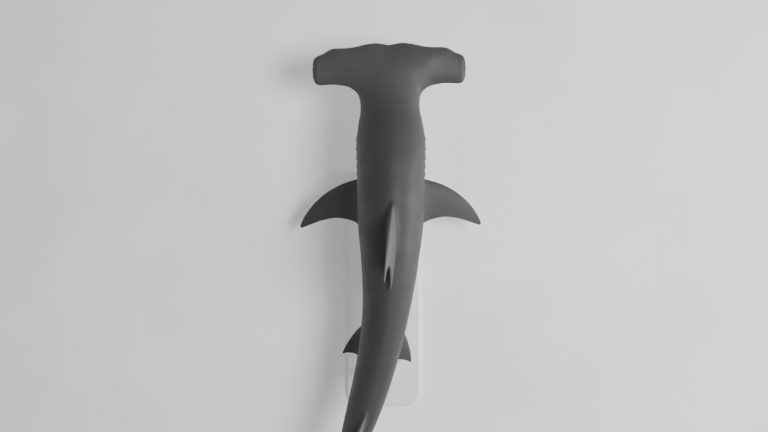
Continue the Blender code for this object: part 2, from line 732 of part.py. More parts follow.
def lobe_solid(name, lobe):
    """One lobe of the tail fin, lofted along its own axis."""
    point, back, normal, up = axis_frame(CAUDAL_STATION * PERCENT)
    angle = math.radians(lobe["angle"])
    outward = math.cos(angle) * back + math.sin(angle) * up
    chord = lobe["chord_sign"] * (math.sin(angle) * back - math.cos(angle) * up)
    start = point + lobe["start"][0] * back + lobe["start"][1] * up
    front, hind = Profile(lobe["front"]), Profile(lobe["hind"])
    root_thick, tip_thick = lobe["thick"]
    low = lobe["front"][0][0]
    even = [low + (1 - low) * i / (LOBE_SECTIONS - 1) for i in range(LOBE_SECTIONS)]
    notch = [share for share, _ in lobe["hind"] if 0.8 < share < 0.9]
    sections = []
    for share in sorted(even + notch):
        thickness = tip_thick + (root_thick - tip_thick) * (1 - max(share, 0.0)) ** LOBE_TAPER
        place = start + share * lobe["span"] * outward
        sections.append(
            blade_section(place, chord, normal, front(share), hind(share), thickness, lobe["thickest"])
        )
    return loft(name, sections, mirrored_split=True)


def tail_fin():
    """Both lobes and the end of the body in one, then parted by a cut between the lobes."""
    start = TAIL_REAR_END * PERCENT + GAP
    upper = body_loft("caudal_upper_lobe", (start, BODY_END * PERCENT))
    combine(upper, [lobe_solid("upper", UPPER_LOBE), lobe_solid("lower", LOWER_LOBE)], "UNION")
    point, back, _, _ = axis_frame(start)
    combine(upper, [half_space(point, -back)], "DIFFERENCE")
    lower = bpy.data.objects.new("caudal_lower_lobe", upper.data.copy())
    bpy.context.scene.collection.objects.link(lower)
    point, back, _, up = axis_frame(CAUDAL_STATION * PERCENT)
    (x0, z0), (x1, z1) = LOBE_CUT
    through = point + x0 * back + z0 * up
    over = ((x1 - x0) * up - (z1 - z0) * back).normalized()
    for lobe, away in ((upper, over), (lower, -over)):
        combine(lobe, [half_space(through + GAP / 2 * away, -away)], "DIFFERENCE")


def stand_base():
    """A flat plate with round corners and a bevelled upper edge."""
    bm = bmesh.new()
    bmesh.ops.create_cube(bm, size=1.0)
    bmesh.ops.scale(bm, verts=bm.verts, vec=(BASE_WIDTH, BASE_LENGTH, BASE_THICKNESS))
    bmesh.ops.translate(bm, verts=bm.verts, vec=(0.0, 0.0, BASE_THICKNESS / 2))
    corners = [e for e in bm.edges if abs(e.verts[0].co.z - e.verts[1].co.z) > BASE_THICKNESS / 2]
    bmesh.ops.bevel(bm, geom=corners, offset=BASE_CORNER, segments=6, profile=0.5, affect="EDGES")
    rim = [e for e in bm.edges if min(v.co.z for v in e.verts) > BASE_THICKNESS / 2]
    bmesh.ops.bevel(bm, geom=rim, offset=BASE_BEVEL, segments=2, profile=0.5, affect="EDGES")
    new_object("stand_base", bm)


def stand_rod(name, station):
    """A turned rod from a flange on the base up to the belly, its head cut to fit the belly."""
    belly, _, _, up = axis_frame(station)
    belly += bottom_level(station) * up
    height = belly.z - BASE_THICKNESS - GAP
    profile = (
        (0.0, 0.0), (FLANGE_RADIUS, 0.0), (FLANGE_RADIUS, FLANGE_THICKNESS), (ROD_RADIUS, FLANGE_NECK),
        (ROD_RADIUS, height - ROD_HEAD_HEIGHT), (ROD_HEAD_RADIUS, height),
        (ROD_HEAD_RADIUS, height + ROD_OVERRUN), (0.0, height + ROD_OVERRUN),
    )
    bm = bmesh.new()
    line = [bm.verts.new((radius, 0.0, level)) for radius, level in profile]
    edges = [bm.edges.new(pair) for pair in zip(line, line[1:])]
    bmesh.ops.spin(
        bm, geom=line + edges, axis=(0.0, 0.0, 1.0), steps=ROD_SIDES, angle=2 * math.pi, use_merge=True
    )
    bmesh.ops.remove_doubles(bm, verts=bm.verts, dist=1e-6)
    rod = new_object(name, bm)
    rod.location = (belly.x, belly.y, BASE_THICKNESS + GAP)
    combine(rod, [whole_body()], "DIFFERENCE")


def finish_of(name):
    if name.startswith("eye"):
        return EYE_FINISH
    if name.startswith("stand_rod"):
        return ROD_FINISH
    return BASE_FINISH if name == "stand_base" else SKIN_FINISH


def add_material(obj):
    """Gives an object a material of its own and smooth shading across its gentle edges."""
    colour, roughness, metallic = finish_of(obj.name)
    material = bpy.data.materials.new(obj.name)
    material.use_nodes = True
    shader = material.node_tree.nodes["Principled BSDF"]
    shader.inputs["Base Color"].default_value = colour
    shader.inputs["Roughness"].default_value = roughness
    shader.inputs["Metallic"].default_value = metallic
    material.diffuse_color = colour
    obj.data.materials.clear()
    obj.data.materials.append(material)
    obj.data.shade_smooth()
    obj.data.set_sharp_from_angle(angle=math.radians(SHARP_ANGLE))


def main():
    for obj in list(bpy.data.objects):
        bpy.data.objects.remove(obj)
    head()
    eyes()
    body_loft("gill_region", (HEAD_END * PERCENT + GAP, GILLS_END * PERCENT))
    body_loft("trunk", (GILLS_END * PERCENT + GAP, TRUNK_END * PERCENT))
    body_loft("tail_front", (TRUNK_END * PERCENT + GAP, TAIL_FRONT_END * PERCENT))
    body_loft("tail_rear", (TAIL_FRONT_END * PERCENT + GAP, TAIL_REAR_END * PERCENT))
    tail_fin()
    fins()
    stand_base()
    for name, station in ROD_STATIONS.items():
        stand_rod(name, station * PERCENT)
    for obj in bpy.data.objects:
        add_material(obj)


main()
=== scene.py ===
"""The looks of a life-size great hammerhead shark on a display stand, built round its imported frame.

The shark's skin is one mesh from the same sizes and curves as its solids, only finer. A station
is a distance behind the snout. The body's stations, widths and heights are in percent of the
total length, and PERCENT turns them into metres, as it does for the bases of the fins, the gill
slits and the rods. All else, such as the head's stations, is in metres and degrees.
"""

import json
import math

import bmesh
import bpy
import numpy as np
from mathutils import Matrix, Vector
from mathutils.bvhtree import BVHTree
from mathutils.kdtree import KDTree


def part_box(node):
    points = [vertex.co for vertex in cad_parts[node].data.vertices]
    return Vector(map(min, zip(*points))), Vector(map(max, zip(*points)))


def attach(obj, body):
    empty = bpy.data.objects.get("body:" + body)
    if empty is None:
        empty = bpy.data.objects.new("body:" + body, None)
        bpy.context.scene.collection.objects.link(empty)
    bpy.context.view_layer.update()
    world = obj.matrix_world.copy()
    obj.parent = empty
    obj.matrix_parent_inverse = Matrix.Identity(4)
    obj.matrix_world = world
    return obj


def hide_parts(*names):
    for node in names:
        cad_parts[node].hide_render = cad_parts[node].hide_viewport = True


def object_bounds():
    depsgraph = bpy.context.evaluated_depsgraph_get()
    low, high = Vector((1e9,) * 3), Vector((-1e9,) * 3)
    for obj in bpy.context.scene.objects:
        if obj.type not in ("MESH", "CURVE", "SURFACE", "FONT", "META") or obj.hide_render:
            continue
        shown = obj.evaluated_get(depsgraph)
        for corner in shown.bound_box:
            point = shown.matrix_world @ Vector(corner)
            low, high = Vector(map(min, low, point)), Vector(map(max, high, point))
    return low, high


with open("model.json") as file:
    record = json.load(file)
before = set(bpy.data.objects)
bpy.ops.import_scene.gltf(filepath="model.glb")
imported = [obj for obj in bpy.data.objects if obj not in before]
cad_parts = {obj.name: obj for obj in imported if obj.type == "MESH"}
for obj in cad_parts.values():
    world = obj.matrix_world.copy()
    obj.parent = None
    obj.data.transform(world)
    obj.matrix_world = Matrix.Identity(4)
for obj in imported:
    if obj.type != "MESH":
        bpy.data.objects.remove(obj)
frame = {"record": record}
CAD_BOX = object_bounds()

TOTAL_LENGTH = 3.10
PERCENT = TOTAL_LENGTH / 100
GAP = 0.0003

# Where the body's axis starts, at the snout
AXIS_HEIGHT = 0.500
SNOUT_Y = -1.280
AXIS_X = -0.0275
SPINE_STEP = 0.010

# Turn of the axis towards +X at the snout, then the start, length and angle of each bend
SNOUT_TURN = -0.8
BENDS = ((4.0, 6.0, -0.9), (11.0, 11.0, 2.1), (27.9, 37.8, 18.1), (64.0, 34.0, 8.9))
# Roll of the back towards -X at stations along the body
ROLL = ((0.0, 0.0), (28.0, 0.5), (42.0, 2.0), (60.0, 8.0), (100.0, 8.0))

# Body: half width, then the levels of its top, bottom and widest line against the axis
HALF_WIDTH = (
    (1.8, 2.2), (5.0, 4.3), (8.7, 4.9), (10.6, 4.85), (12.6, 5.2), (16.5, 5.66), (22.3, 5.5),
    (28.7, 5.38), (35.2, 4.72), (45.2, 3.70), (51.6, 3.27), (58.4, 2.88), (66.0, 2.16), (70.0, 1.60),
    (74.5, 0.60),
)
TOP = (
    (1.8, -0.9), (3.2, 0.45), (6.5, 1.95), (10.0, 3.2), (16.0, 5.0), (21.0, 6.1), (26.0, 6.75),
    (31.0, 6.55), (45.0, 4.85), (55.0, 3.65), (62.0, 2.95), (68.0, 2.25), (69.4, 1.95), (70.2, 2.0),
    (74.5, 3.8),
)
BOTTOM = (
    (1.8, -2.0), (3.2, -2.9), (6.5, -3.5), (10.0, -3.95), (16.0, -5.1), (21.0, -6.1), (27.5, -6.75),
    (35.5, -6.4), (45.0, -5.1), (55.0, -3.55), (62.0, -2.7), (68.0, -1.9), (71.0, -1.5), (74.5, 1.4),
)
WIDEST = (
    (1.8, -1.45), (8.0, -1.3), (16.0, -0.8), (25.0, -0.55), (45.0, -0.15), (62.0, 0.05), (70.0, 0.2),
    (74.5, 2.6),
)
BODY_START = 1.8
BODY_END = 74.5
TOP_POWER = 1.95
BOTTOM_POWER = 2.25
BODY_SIDES = 176
RING_STEP = 0.007

# Gill slits: stations, elevation of their upper and lower ends, and the flaps in front of them
GILL_SLITS = (15.8, 17.35, 18.9, 20.35, 21.6)
GILL_TOP = 13.0
GILL_FEET = (-38.0, -38.0, -36.0, -30.0, -14.0)
GILL_LIFT = 0.0035
GILL_FLAP = 0.034
GILL_LIP = 0.0045
GILL_DEPTH = 0.012
GILL_WIDTH = 0.008
GILL_BOW = 0.010
GILL_FADE = 9.0
GILL_SKEW_FADE = 0.044
# Share of its lift that a flap has at its edge, and the power of the slit's slope behind it
FLAP_BASE = 0.55
SLIT_CURVE = 1.5
# Rings of points round each slit, ahead of it and behind
GILL_RINGS = (
    -0.0200, -0.0150, -0.0100, -0.0065, -0.0040, -0.0022, -0.0011, -0.0004, 0.0004, 0.0015, 0.0030,
    0.0050, 0.0075, 0.0100, 0.0150,
)

# Hammer: stations of its front and rear margins, and its thickness, at distances from the middle
HAMMER_HALF_SPAN = 0.3875
HAMMER_FRONT = (
    (0.0, 0.001), (0.070, -0.010), (0.112, -0.005), (0.158, 0.006), (0.190, 0.012), (0.225, 0.0150),
    (0.262, 0.0150), (0.288, 0.0170), (0.306, 0.024), (0.322, 0.0335), (0.338, 0.0425), (0.355, 0.0495),
    (0.369, 0.0555), (0.381, 0.066), (0.3875, 0.082),
)
HAMMER_REAR = (
    (0.0, 0.330), (0.110, 0.330), (0.143, 0.285), (0.150, 0.262), (0.160, 0.243), (0.183, 0.222),
    (0.207, 0.2125), (0.240, 0.2055), (0.285, 0.1995), (0.330, 0.2005), (0.350, 0.202), (0.3705, 0.197),
    (0.3815, 0.184), (0.3875, 0.165),
)
HAMMER_UP = ((0.0, 0.084), (0.060, 0.080), (0.120, 0.068), (0.180, 0.053), (0.260, 0.039), (0.350, 0.030))
HAMMER_DOWN = ((0.0, 0.062), (0.070, 0.058), (0.130, 0.044), (0.190, 0.031), (0.260, 0.027), (0.350, 0.028))
HAMMER_PLANE = ((0.0, -0.046), (0.200, -0.046), (0.3875, -0.052))
HAMMER_ROUND_END = 0.030
HAMMER_CENTRE = 0.150
HAMMER_POINTS = 128
HAMMER_SECTIONS = 161
# How far the hammer's sections crowd towards its ends, from 0, even, to 1
HAMMER_CROWDING = 0.6
# The round ends: how far and how fully they close, and the flat caps' bulge, rings and turn
HAMMER_END_CLOSING = (0.97, 2.4)
HAMMER_END_BULGE = 0.003
HAMMER_END_RINGS = 5
HAMMER_END_TURN = 80.0
# Share of the chord at which a section is thickest, and the powers that shape its nose: at the
# ends, and how much each changes towards the middle of the head
SECTION_THICKEST = (0.36, 0.22)
SECTION_NOSE = (2.0, -0.65)
SECTION_ROUNDING = (2.0, -0.70)
# The powers that shape a section from there to its rear edge
SECTION_TAIL = (2.6, 0.75)
# The skin where the hammer runs into the body is smoothed in this box: stations and half width
NECK_BOX = (0.13, 0.353, 0.21)
NECK_ROUNDS = 90
# The crown, evened on its upper side only, so that the front edge stays
CROWN_BOX = (0.035, 0.290, 0.190)
CROWN_ROUNDS = 500
CROWN_FACING = (0.25, 0.65)
BOX_FADE = 0.035
# How far behind its tip the snout is drawn into the solids' box
SNOUT_EASE = 0.030

# Tubes: how finely they are rounded, and the share of its radius that one keeps at its ends
TUBE_ROUNDING = 6
TUBE_END = 0.3

# Mouth, an arch under the head with its front ahead of its two corners
MOUTH_FRONT = 0.192
MOUTH_CORNER_ACROSS = 0.108
MOUTH_CORNER_STATION = 0.300
MOUTH_ARCH = 2.1
MOUTH_STEPS = 90
MOUTH_EVENING = 12
LIP_RADIUS = 0.0130
LIP_SINK = 0.0070
MOUTH_GROOVE = 0.0050
MOUTH_RISE = 0.0010

# Nostrils, on the front edge of the hammer
NOSTRIL_INNER = 0.286
NOSTRIL_OUTER = 0.338
NOSTRIL_RADIUS = 0.0068
NOSTRIL_END = 0.06
NOSTRIL_DROP = 0.004
NOSTRIL_STEPS = 48

# Eyes, one on each end of the hammer
EYE_ACROSS = 0.372
EYE_STATION = 0.120
EYE_LEVEL = -0.052
EYE_RADIUS = 0.020
EYE_FORWARD = 8.0
EYE_SIDES = (48, 32)
SOCKET_SIDES = (96, 64)
OPENING_SIDES = (128, 96)
LID_OUT = 0.0140
LID_RING = 0.0172
LID_THICKNESS = 0.0036
# How much thinner the lids are at the eye's middle level than above it, and the sections and
# sides of the ring that forms them
LID_THINNING = 0.14
LID_SECTIONS = 64
LID_SIDES = 16
MOUND_SIZE = (0.030, 0.026, 0.0180)
OPENING_SIZE = (0.0132, 0.0122, 0.0100)
OPENING_OUT = 0.0175
# The rims of the lids are evened within these distances from an eye's middle and out of it
RIM_REACH = (0.0230, 0.0280)
RIM_OUT = (0.008, 0.012)
RIM_ROUNDS = 30

# Each fin: stations of its base, its place round the body, the lean of its plane above the
# horizontal, its span, its front and hind margins at shares of the span, its thickness at
# root and tip, how far the tip is swept back and bent across the plane, and how deep the root
# is sunk
FINS = {
    "first_dorsal_fin": {
        "base": (26.2, 35.8), "place": 92.0, "lean": 84.7, "span": 0.445,
        "front": ((0.0, 0.0), (0.25, 0.073), (0.5, 0.145), (0.75, 0.221), (0.9, 0.272), (1.0, 0.311)),
        "hind": ((0.0, 0.298), (0.045, 0.420), (0.10, 0.345), (0.22, 0.298), (0.42, 0.279), (0.65, 0.283),
                 (0.85, 0.302), (1.0, 0.325)),
        "thick": (0.040, 0.006), "thickest": 0.42, "root": 0.070,
    },
    "second_dorsal_fin": {
        "base": (60.2, 64.9), "place": 90.0, "lean": 79.0, "span": 0.180,
        "front": ((0.0, 0.0), (0.3, 0.050), (0.6, 0.104), (0.85, 0.152), (1.0, 0.184)),
        "hind": ((0.0, 0.152), (0.10, 0.290), (0.22, 0.206), (0.45, 0.166), (0.7, 0.170), (1.0, 0.194)),
        "thick": (0.024, 0.004), "root": 0.045,
    },
    "anal_fin": {
        "base": (58.8, 64.2), "place": -90.0, "lean": -90.0, "span": 0.165,
        "front": ((0.0, 0.0), (0.3, 0.052), (0.6, 0.110), (0.85, 0.162), (1.0, 0.198)),
        "hind": ((0.0, 0.168), (0.10, 0.266), (0.22, 0.200), (0.5, 0.158), (0.75, 0.172), (1.0, 0.208)),
        "thick": (0.024, 0.004), "root": 0.045,
    },
    "pectoral_fin_left": {
        "base": (21.7, 27.6), "place": -36.0, "lean": -28.0, "span": 0.398, "sweep": 0.018,
        "front": ((0.0, 0.0), (0.3, 0.026), (0.55, 0.067), (0.75, 0.120), (0.9, 0.179), (1.0, 0.236)),
        "hind": ((0.0, 0.185), (0.05, 0.252), (0.12, 0.232), (0.26, 0.214), (0.42, 0.206), (0.63, 0.216),
                 (0.82, 0.237), (1.0, 0.258)),
        "thick": (0.042, 0.006), "bend": 0.012, "root": 0.070,
    },
    "pelvic_fin_left": {
        "base": (46.3, 50.7), "place": -58.0, "lean": -38.0, "span": 0.142, "sweep": 0.012,
        "front": ((0.0, 0.0), (0.25, 0.013), (0.5, 0.041), (0.75, 0.089), (0.9, 0.127), (1.0, 0.159)),
        "hind": ((0.0, 0.138), (0.09, 0.203), (0.3, 0.174), (0.5, 0.164), (0.75, 0.163), (1.0, 0.172)),
        "thick": (0.026, 0.004), "bend": 0.006, "root": 0.045,
    },
}
# How the paired fins on the right differ from the mirror image of those on the left
RIGHT_FINS = {
    "pectoral_fin_right": {"lean": -154.5, "sweep": -0.007},
    "pelvic_fin_right": {"place": 231.0, "lean": -156.0, "sweep": -0.007},
}
FIN_POINTS = 72
FIN_SECTION_STEP = 0.006
FIN_MIN_THICKNESS = 0.0014
FIN_THICKEST = 0.32
FIN_TAPER = 1.15
FIN_TIP = 0.012
FIN_TIP_SECTIONS = 9
FIN_TIP_KEEP = 0.2
HIND_FULLNESS = 1.5
FLARE_REACH = 0.022
FLARE_CHORD = 0.012
FLARE_THICKNESS = 0.45

# Tail fin: both lobes lie in the upright plane through CAUDAL_STATION, and each is set by
# its start in that plane (rearward, up), its angle above the horizontal, its span and the side
# that its chord runs to
CAUDAL_STATION = 70.0
UPPER_LOBE = {
    "start": (0.0, 0.058), "angle": 31.0, "span": 0.880, "chord_sign": 1,
    "front": ((-0.06, 0.012), (0.0, 0.0), (0.3, -0.008), (0.6, -0.010), (0.85, 0.0), (0.95, 0.012),
              (1.0, 0.024)),
    "hind": ((-0.06, 0.105), (0.0, 0.150), (0.12, 0.176), (0.22, 0.152), (0.4, 0.134), (0.6, 0.112),
             (0.78, 0.084), (0.825, 0.070), (0.845, 0.066), (0.87, 0.092), (0.93, 0.072), (1.0, 0.034)),
    "thick": (0.066, 0.006), "thickest": 0.30,
}
LOWER_LOBE = {
    "start": (0.015, -0.036), "angle": -52.0, "span": 0.415, "chord_sign": -1,
    "front": ((-0.16, 0.02), (0.0, -0.004), (0.4, -0.012), (0.8, -0.002), (1.0, 0.012)),
    "hind": ((-0.16, 0.235), (0.0, 0.262), (0.16, 0.236), (0.35, 0.168), (0.6, 0.104), (0.85, 0.052),
             (1.0, 0.024)),
    "thick": (0.040, 0.005), "thickest": 0.34,
}
LOBE_TAPER = 1.3

# Points nearer than this are one point
SAME_POINT = 1e-6
# Share of the way to the middle of its neighbours that a vertex moves in one round
EVENING = 0.5
# Rounds in which a point's place along the body is found
PLACE_ROUNDS = 6

# Seams where a form joins the body: how near both surfaces a point on them lies, the shortest
# edge kept beside them, and the share of its reach in which a crease is softened in full. Then
# how far each crease is softened, and in how many rounds
SEAM_CLOSE = 0.00002
SEAM_SHORTEST = 0.0008
SEAM_CORE = 0.25
MERGE_ROUNDS = 6
HAMMER_SEAM = (0.050, 40)
FIN_SEAM = (0.024, 36)
LOBE_SEAM = (0.035, 40)
MOUND_SEAM = (0.010, 12)
LID_SEAM = (0.0030, 3)
LIP_SEAM = (0.0060, 6)

# Display stand
BASE_CORNER = 0.080
BASE_CORNER_STEPS = 24
BASE_BEVEL = 0.006
BASE_BEVEL_STEPS = 6
ROD_STATIONS = {"stand_rod_front": 28.0, "stand_rod_rear": 55.8}
FLANGE_RADIUS = 0.045
FLANGE_THICKNESS = 0.008
FLANGE_EDGE = 0.0015
FLANGE_NECK = 0.011
FLANGE_SLOPE = 0.0006
ROD_FILLET = 0.003
ROD_RADIUS = 0.016
ROD_HEAD_RADIUS = 0.028
ROD_HEAD_HEIGHT = 0.055
ROD_SIDES = 96
# How far a rod runs on into the body before the body's shape is cut from it
ROD_OVERRUN = 0.100
SHARP_ANGLE = 30

# Markings: the skin turns from grey to white between these shares of facing down
BELLY_START = 0.10
BELLY_FULL = 0.60
BELLY_ROUNDS = 40
# Painted shade darkens the gill slits beyond this share of the half width
FLANK_SHARE = 0.6
# The back is darker above these elevations and behind these stations
SPINE_ELEVATION = (15.0, 75.0)
SPINE_START = (0.16, 0.42)
# Painted shade darkens the paired fins beyond the body's side, and painted light makes the
# dorsal fins paler above it
BESIDE_BODY = (1.02, 1.30)
FINS_START = (0.52, 0.60)
ABOVE_BODY = (0.004, 0.040)
DORSAL_END = (2.05, 2.15)
# Round an eye, the grey ends at the level of its lower lid
LID_MARK_REACH = (0.024, 0.040)
LID_MARK_LEVEL = (-0.014, -0.003)
# The painted shade in the slits is darkest from this depth on, and painted shade darkens the mouth's line
# within this reach
SLIT_DARK = 0.006
CREASE_REACH = (0.003, 0.010)
CREASE_SEARCH = 0.02
# The painted shade along the mouth's line fades over these shares of the way to its corners
CORNER_FADE = (0.62, 1.0)
# Painted shade darkens the nostrils between these depths behind their middle lines, in shares of
# their radius, at places this near their walls
PIT_DEPTH = (-0.1, 0.5)
PIT_CLOSE = 0.0006
# The head's own tone and pores end between these stations
HEAD_END = (0.18, 0.30)

# Colours
BACK_DARK = (0.040, 0.040, 0.041, 1.0)
BACK_LIGHT = (0.053, 0.053, 0.054, 1.0)
BACK_SPINE = (0.026, 0.026, 0.027, 1.0)
BACK_HEAD = (0.053, 0.053, 0.054, 1.0)
# Painted shade on the paired fins
PAIRED_FIN_SHADE = (0.028, 0.028, 0.029, 1.0)
# Painted light on the dorsal fins
DORSAL_FIN_LIGHT = (0.088, 0.088, 0.089, 1.0)
BACK_BLOTCH = (0.030, 0.030, 0.031, 1.0)
BACK_SCRATCH = (0.110, 0.110, 0.110, 1.0)
BELLY_LIGHT = (0.62, 0.61, 0.59, 1.0)
BELLY_SHADE = (0.50, 0.49, 0.475, 1.0)
# Painted shade in the slits, along the mouth and in the nostrils, and the dark of the pores
SHADE_AND_PORE_COLOUR = (0.012, 0.012, 0.012, 1.0)
GRAIN_COLOUR = (0.0, 0.0, 0.0, 1.0)
IRIS_DARK = (0.012, 0.012, 0.012, 1.0)
IRIS_LIGHT = (0.160, 0.160, 0.155, 1.0)
EYE_BLACK = (0.004, 0.004, 0.004, 1.0)
BASE_LIGHT = (0.75, 0.75, 0.745, 1.0)
BASE_SHADE = (0.70, 0.70, 0.695, 1.0)
STEEL_LIGHT = (0.62, 0.63, 0.64, 1.0)
STEEL_SHADE = (0.50, 0.51, 0.52, 1.0)
FLOOR_LIGHT = (0.90, 0.90, 0.90, 1.0)
FLOOR_SHADE = (0.85, 0.85, 0.85, 1.0)
# Marks on the back, with how much of which tone each lays over it; the paired fins' mark is
# painted shade and the dorsal fins' mark is painted light
BACK_MARKS = (
    ("head", 0.80, BACK_HEAD), ("spine", 0.75, BACK_SPINE), ("paired_fin_shade", 0.70, PAIRED_FIN_SHADE),
    ("dorsal_fin_light", 0.80, DORSAL_FIN_LIGHT),
)
# Degrees off the eye's axis where the pupil and the iris end, and how narrow the pupil is
PUPIL_EDGE = (15.0, 17.0)
IRIS_EDGE = (18.0, 34.0)
PUPIL_NARROWING = 1.35

# Light
FLOOR_HALF = 15.0
WORLD_COLOUR = (1.0, 1.0, 1.0, 1.0)
WORLD_STRENGTH = 0.56
KEY_ENERGY = 310.0
KEY_PLACE = (-2.5, -0.5, 5.4)
KEY_SIZE = 2.2
SIDE_ENERGY = 406.0
SIDE_PLACE = (-7.0, -0.3, 0.96)
SIDE_SIZE = 1.8

# Camera: straight above the shark with its head at the top of the picture
CAMERA_X = -0.003
CAMERA_Y = SNOUT_Y + 0.872
CAMERA_ABOVE_AXIS = 4.5
VIEW_WIDTH = 3.87
SENSOR_WIDTH = 36.0


class Profile:
    """A smooth curve through (place, value) pairs that doesn't overshoot them."""

    def __init__(self, pairs, unit=1.0):
        self.places = np.array([place for place, _ in pairs]) * unit
        self.values = np.array([value for _, value in pairs]) * unit
        rises = np.diff(self.values) / np.diff(self.places)
        before, after = rises[:-1], rises[1:]
        same_way = before * after > 0
        total = np.where(same_way, before + after, 1.0)
        inner = np.where(same_way, 2 * before * after / total, 0.0)
        self.slopes = np.concatenate((rises[:1], inner, rises[-1:]))

    def __call__(self, at):
        at = np.clip(at, self.places[0], self.places[-1])
        i = np.clip(np.searchsorted(self.places, at) - 1, 0, len(self.places) - 2)
        width = self.places[i + 1] - self.places[i]
        t = (at - self.places[i]) / width
        return (
            (1 + 2 * t) * (1 - t) ** 2 * self.values[i]
            + t * (1 - t) ** 2 * width * self.slopes[i]
            + t * t * (3 - 2 * t) * self.values[i + 1]
            + t * t * (t - 1) * width * self.slopes[i + 1]
        )


half_width = Profile(HALF_WIDTH, PERCENT)
top_level = Profile(TOP, PERCENT)
bottom_level = Profile(BOTTOM, PERCENT)
widest_level = Profile(WIDEST, PERCENT)
roll_degrees = Profile(ROLL)
hammer_front = Profile(HAMMER_FRONT)
hammer_rear = Profile(HAMMER_REAR)
hammer_up = Profile(HAMMER_UP)
hammer_down = Profile(HAMMER_DOWN)
hammer_plane = Profile(HAMMER_PLANE)


def smooth_step(low, high, value):
    t = np.clip((value - low) / (high - low), 0.0, 1.0)
    return t * t * (3 - 2 * t)


def signed_power(value, power):
    return np.sign(value) * np.abs(value) ** power


def unit(vectors):
    return vectors / np.linalg.norm(vectors, axis=-1, keepdims=True)


def heading(station):
    """The axis's turn towards +X at stations in metres, in radians."""
    turn = SNOUT_TURN
    for start, length, angle in BENDS:
        turn = turn + angle * smooth_step(start, start + length, station / PERCENT)
    return np.radians(turn)


def axis_points():
    """The body's axis as points one step apart, from the snout back."""
    turn = heading((np.arange(int(TOTAL_LENGTH / SPINE_STEP) + 1) + 0.5) * SPINE_STEP)
    steps = SPINE_STEP * np.stack((np.sin(turn), np.cos(turn), np.zeros_like(turn)), -1)
    start = np.array([(AXIS_X, SNOUT_Y, AXIS_HEIGHT)])
    return np.concatenate((start, start + np.cumsum(steps, axis=0)))


AXIS = axis_points()


def axis_frame(station):
    """(point, rearward, towards +X, up) of the axis at stations in metres, rolled with the body."""
    station = np.asarray(station, float)
    i = np.clip((station / SPINE_STEP).astype(int), 0, len(AXIS) - 2)
    share = (station / SPINE_STEP - i)[..., None]
    point = AXIS[i] * (1 - share) + AXIS[i + 1] * share
    turn = heading(station)
    level = np.zeros_like(turn)
    back = np.stack((np.sin(turn), np.cos(turn), level), -1)
    side = np.stack((np.cos(turn), -np.sin(turn), level), -1)
    rise = np.array((0.0, 0.0, 1.0))
    roll = np.radians(roll_degrees(station / PERCENT))[..., None]
    return (
        point, back, np.cos(roll) * side + np.sin(roll) * rise,
        np.cos(roll) * rise - np.sin(roll) * side,
    )


def slit_reach(foot):
    """(middle, half height) in degrees of elevation of a gill slit with this lower end."""
    return (GILL_TOP + foot) / 2, (GILL_TOP - foot) / 2


def slit_bow(elevation, foot):
    """How far a gill slit's line lies behind its station at an elevation."""
    middle, reach = slit_reach(foot)
    return GILL_BOW * np.clip((elevation - middle) / reach, -1.0, 1.0) ** 2


def gill_move(station, elevation):
    """How far the gill flaps lift the skin, or their slits sink it, at places on the flank."""
    move = np.zeros(np.broadcast(station, elevation).shape)
    for slit, foot in zip(GILL_SLITS, GILL_FEET):
        middle, reach = slit_reach(foot)
        off = np.abs((elevation - middle) / reach)
        seen = 1 - smooth_step(1 - GILL_FADE / reach, 1.0, off)
        behind = station - slit * PERCENT - slit_bow(elevation, foot)
        lip = smooth_step(0.0, GILL_LIP, -behind)
        flap = GILL_LIFT * smooth_step(-GILL_FLAP, 0.0, behind) * (FLAP_BASE + (1 - FLAP_BASE) * lip)
        slope = np.clip(1 - behind / GILL_WIDTH, 0.0, 1.0)
        move += seen * np.where(behind <= 0, flap, -GILL_DEPTH * slope**SLIT_CURVE)
    return move


def body_points(station, around, grow=0.0, gills=True):
    """The skin at stations in metres, these many degrees round from the +X flank over the back."""
    station, around = np.broadcast_arrays(np.asarray(station, float), np.asarray(around, float))
    point, _, side, up = axis_frame(station)
    level = widest_level(station)
    across, high = np.cos(np.radians(around)), np.sin(np.radians(around))
    upper = high >= 0
    power = np.where(upper, 2 / TOP_POWER, 2 / BOTTOM_POWER)
    rise = np.where(upper, top_level(station) - level, level - bottom_level(station))
    out = grow + (gill_move(station, np.degrees(np.arcsin(high))) if gills else 0.0)
    out_side = signed_power(across, power) * (half_width(station) + out)
    out_up = level + signed_power(high, power) * (rise + out)
    return point + out_side[..., None] * side + out_up[..., None] * up


def ring_skew(station, elevation):
    """How far a ring's point lies behind its station, so that the rings follow the slits."""
    slits = [slit * PERCENT for slit in GILL_SLITS]
    places = [slits[0] - GILL_SKEW_FADE, *slits, slits[-1] + GILL_SKEW_FADE]
    bows = [slit_bow(elevation, foot) for foot in GILL_FEET]
    bows = [0 * elevation, *bows, 0 * elevation]
    skew = np.zeros(np.broadcast(station, elevation).shape)
    for i in range(len(places) - 1):
        inside = (station >= places[i]) & (station < places[i + 1])
        share = smooth_step(places[i], places[i + 1], station)
        skew += inside * ((1 - share) * bows[i] + share * bows[i + 1])
    return skew


def ring_stations():
    """Stations of the body's rings, closer round each gill slit."""
    start, end = BODY_START * PERCENT, BODY_END * PERCENT
    found = np.arange(start, end, RING_STEP)
    for slit in GILL_SLITS:
        offset = found - slit * PERCENT
        clear = (offset < GILL_RINGS[0] - RING_STEP / 2) | (offset > GILL_RINGS[-1] + RING_STEP / 2)
        found = np.concatenate((found[clear], slit * PERCENT + np.array(GILL_RINGS)))
    return np.append(np.sort(found), end)


def placed(name, data):
    """A new object in the scene."""
    obj = bpy.data.objects.new(name, data)
    bpy.context.scene.collection.objects.link(obj)
    return obj


def opened(mesh):
    """A bmesh of a mesh."""
    bm = bmesh.new()
    bm.from_mesh(mesh)
    return bm


def final_mesh(obj):
    """The mesh that an object's modifiers, or its curve, make."""
    bpy.context.view_layer.update()
    graph = bpy.context.evaluated_depsgraph_get()
    return bpy.data.meshes.new_from_object(obj.evaluated_get(graph))


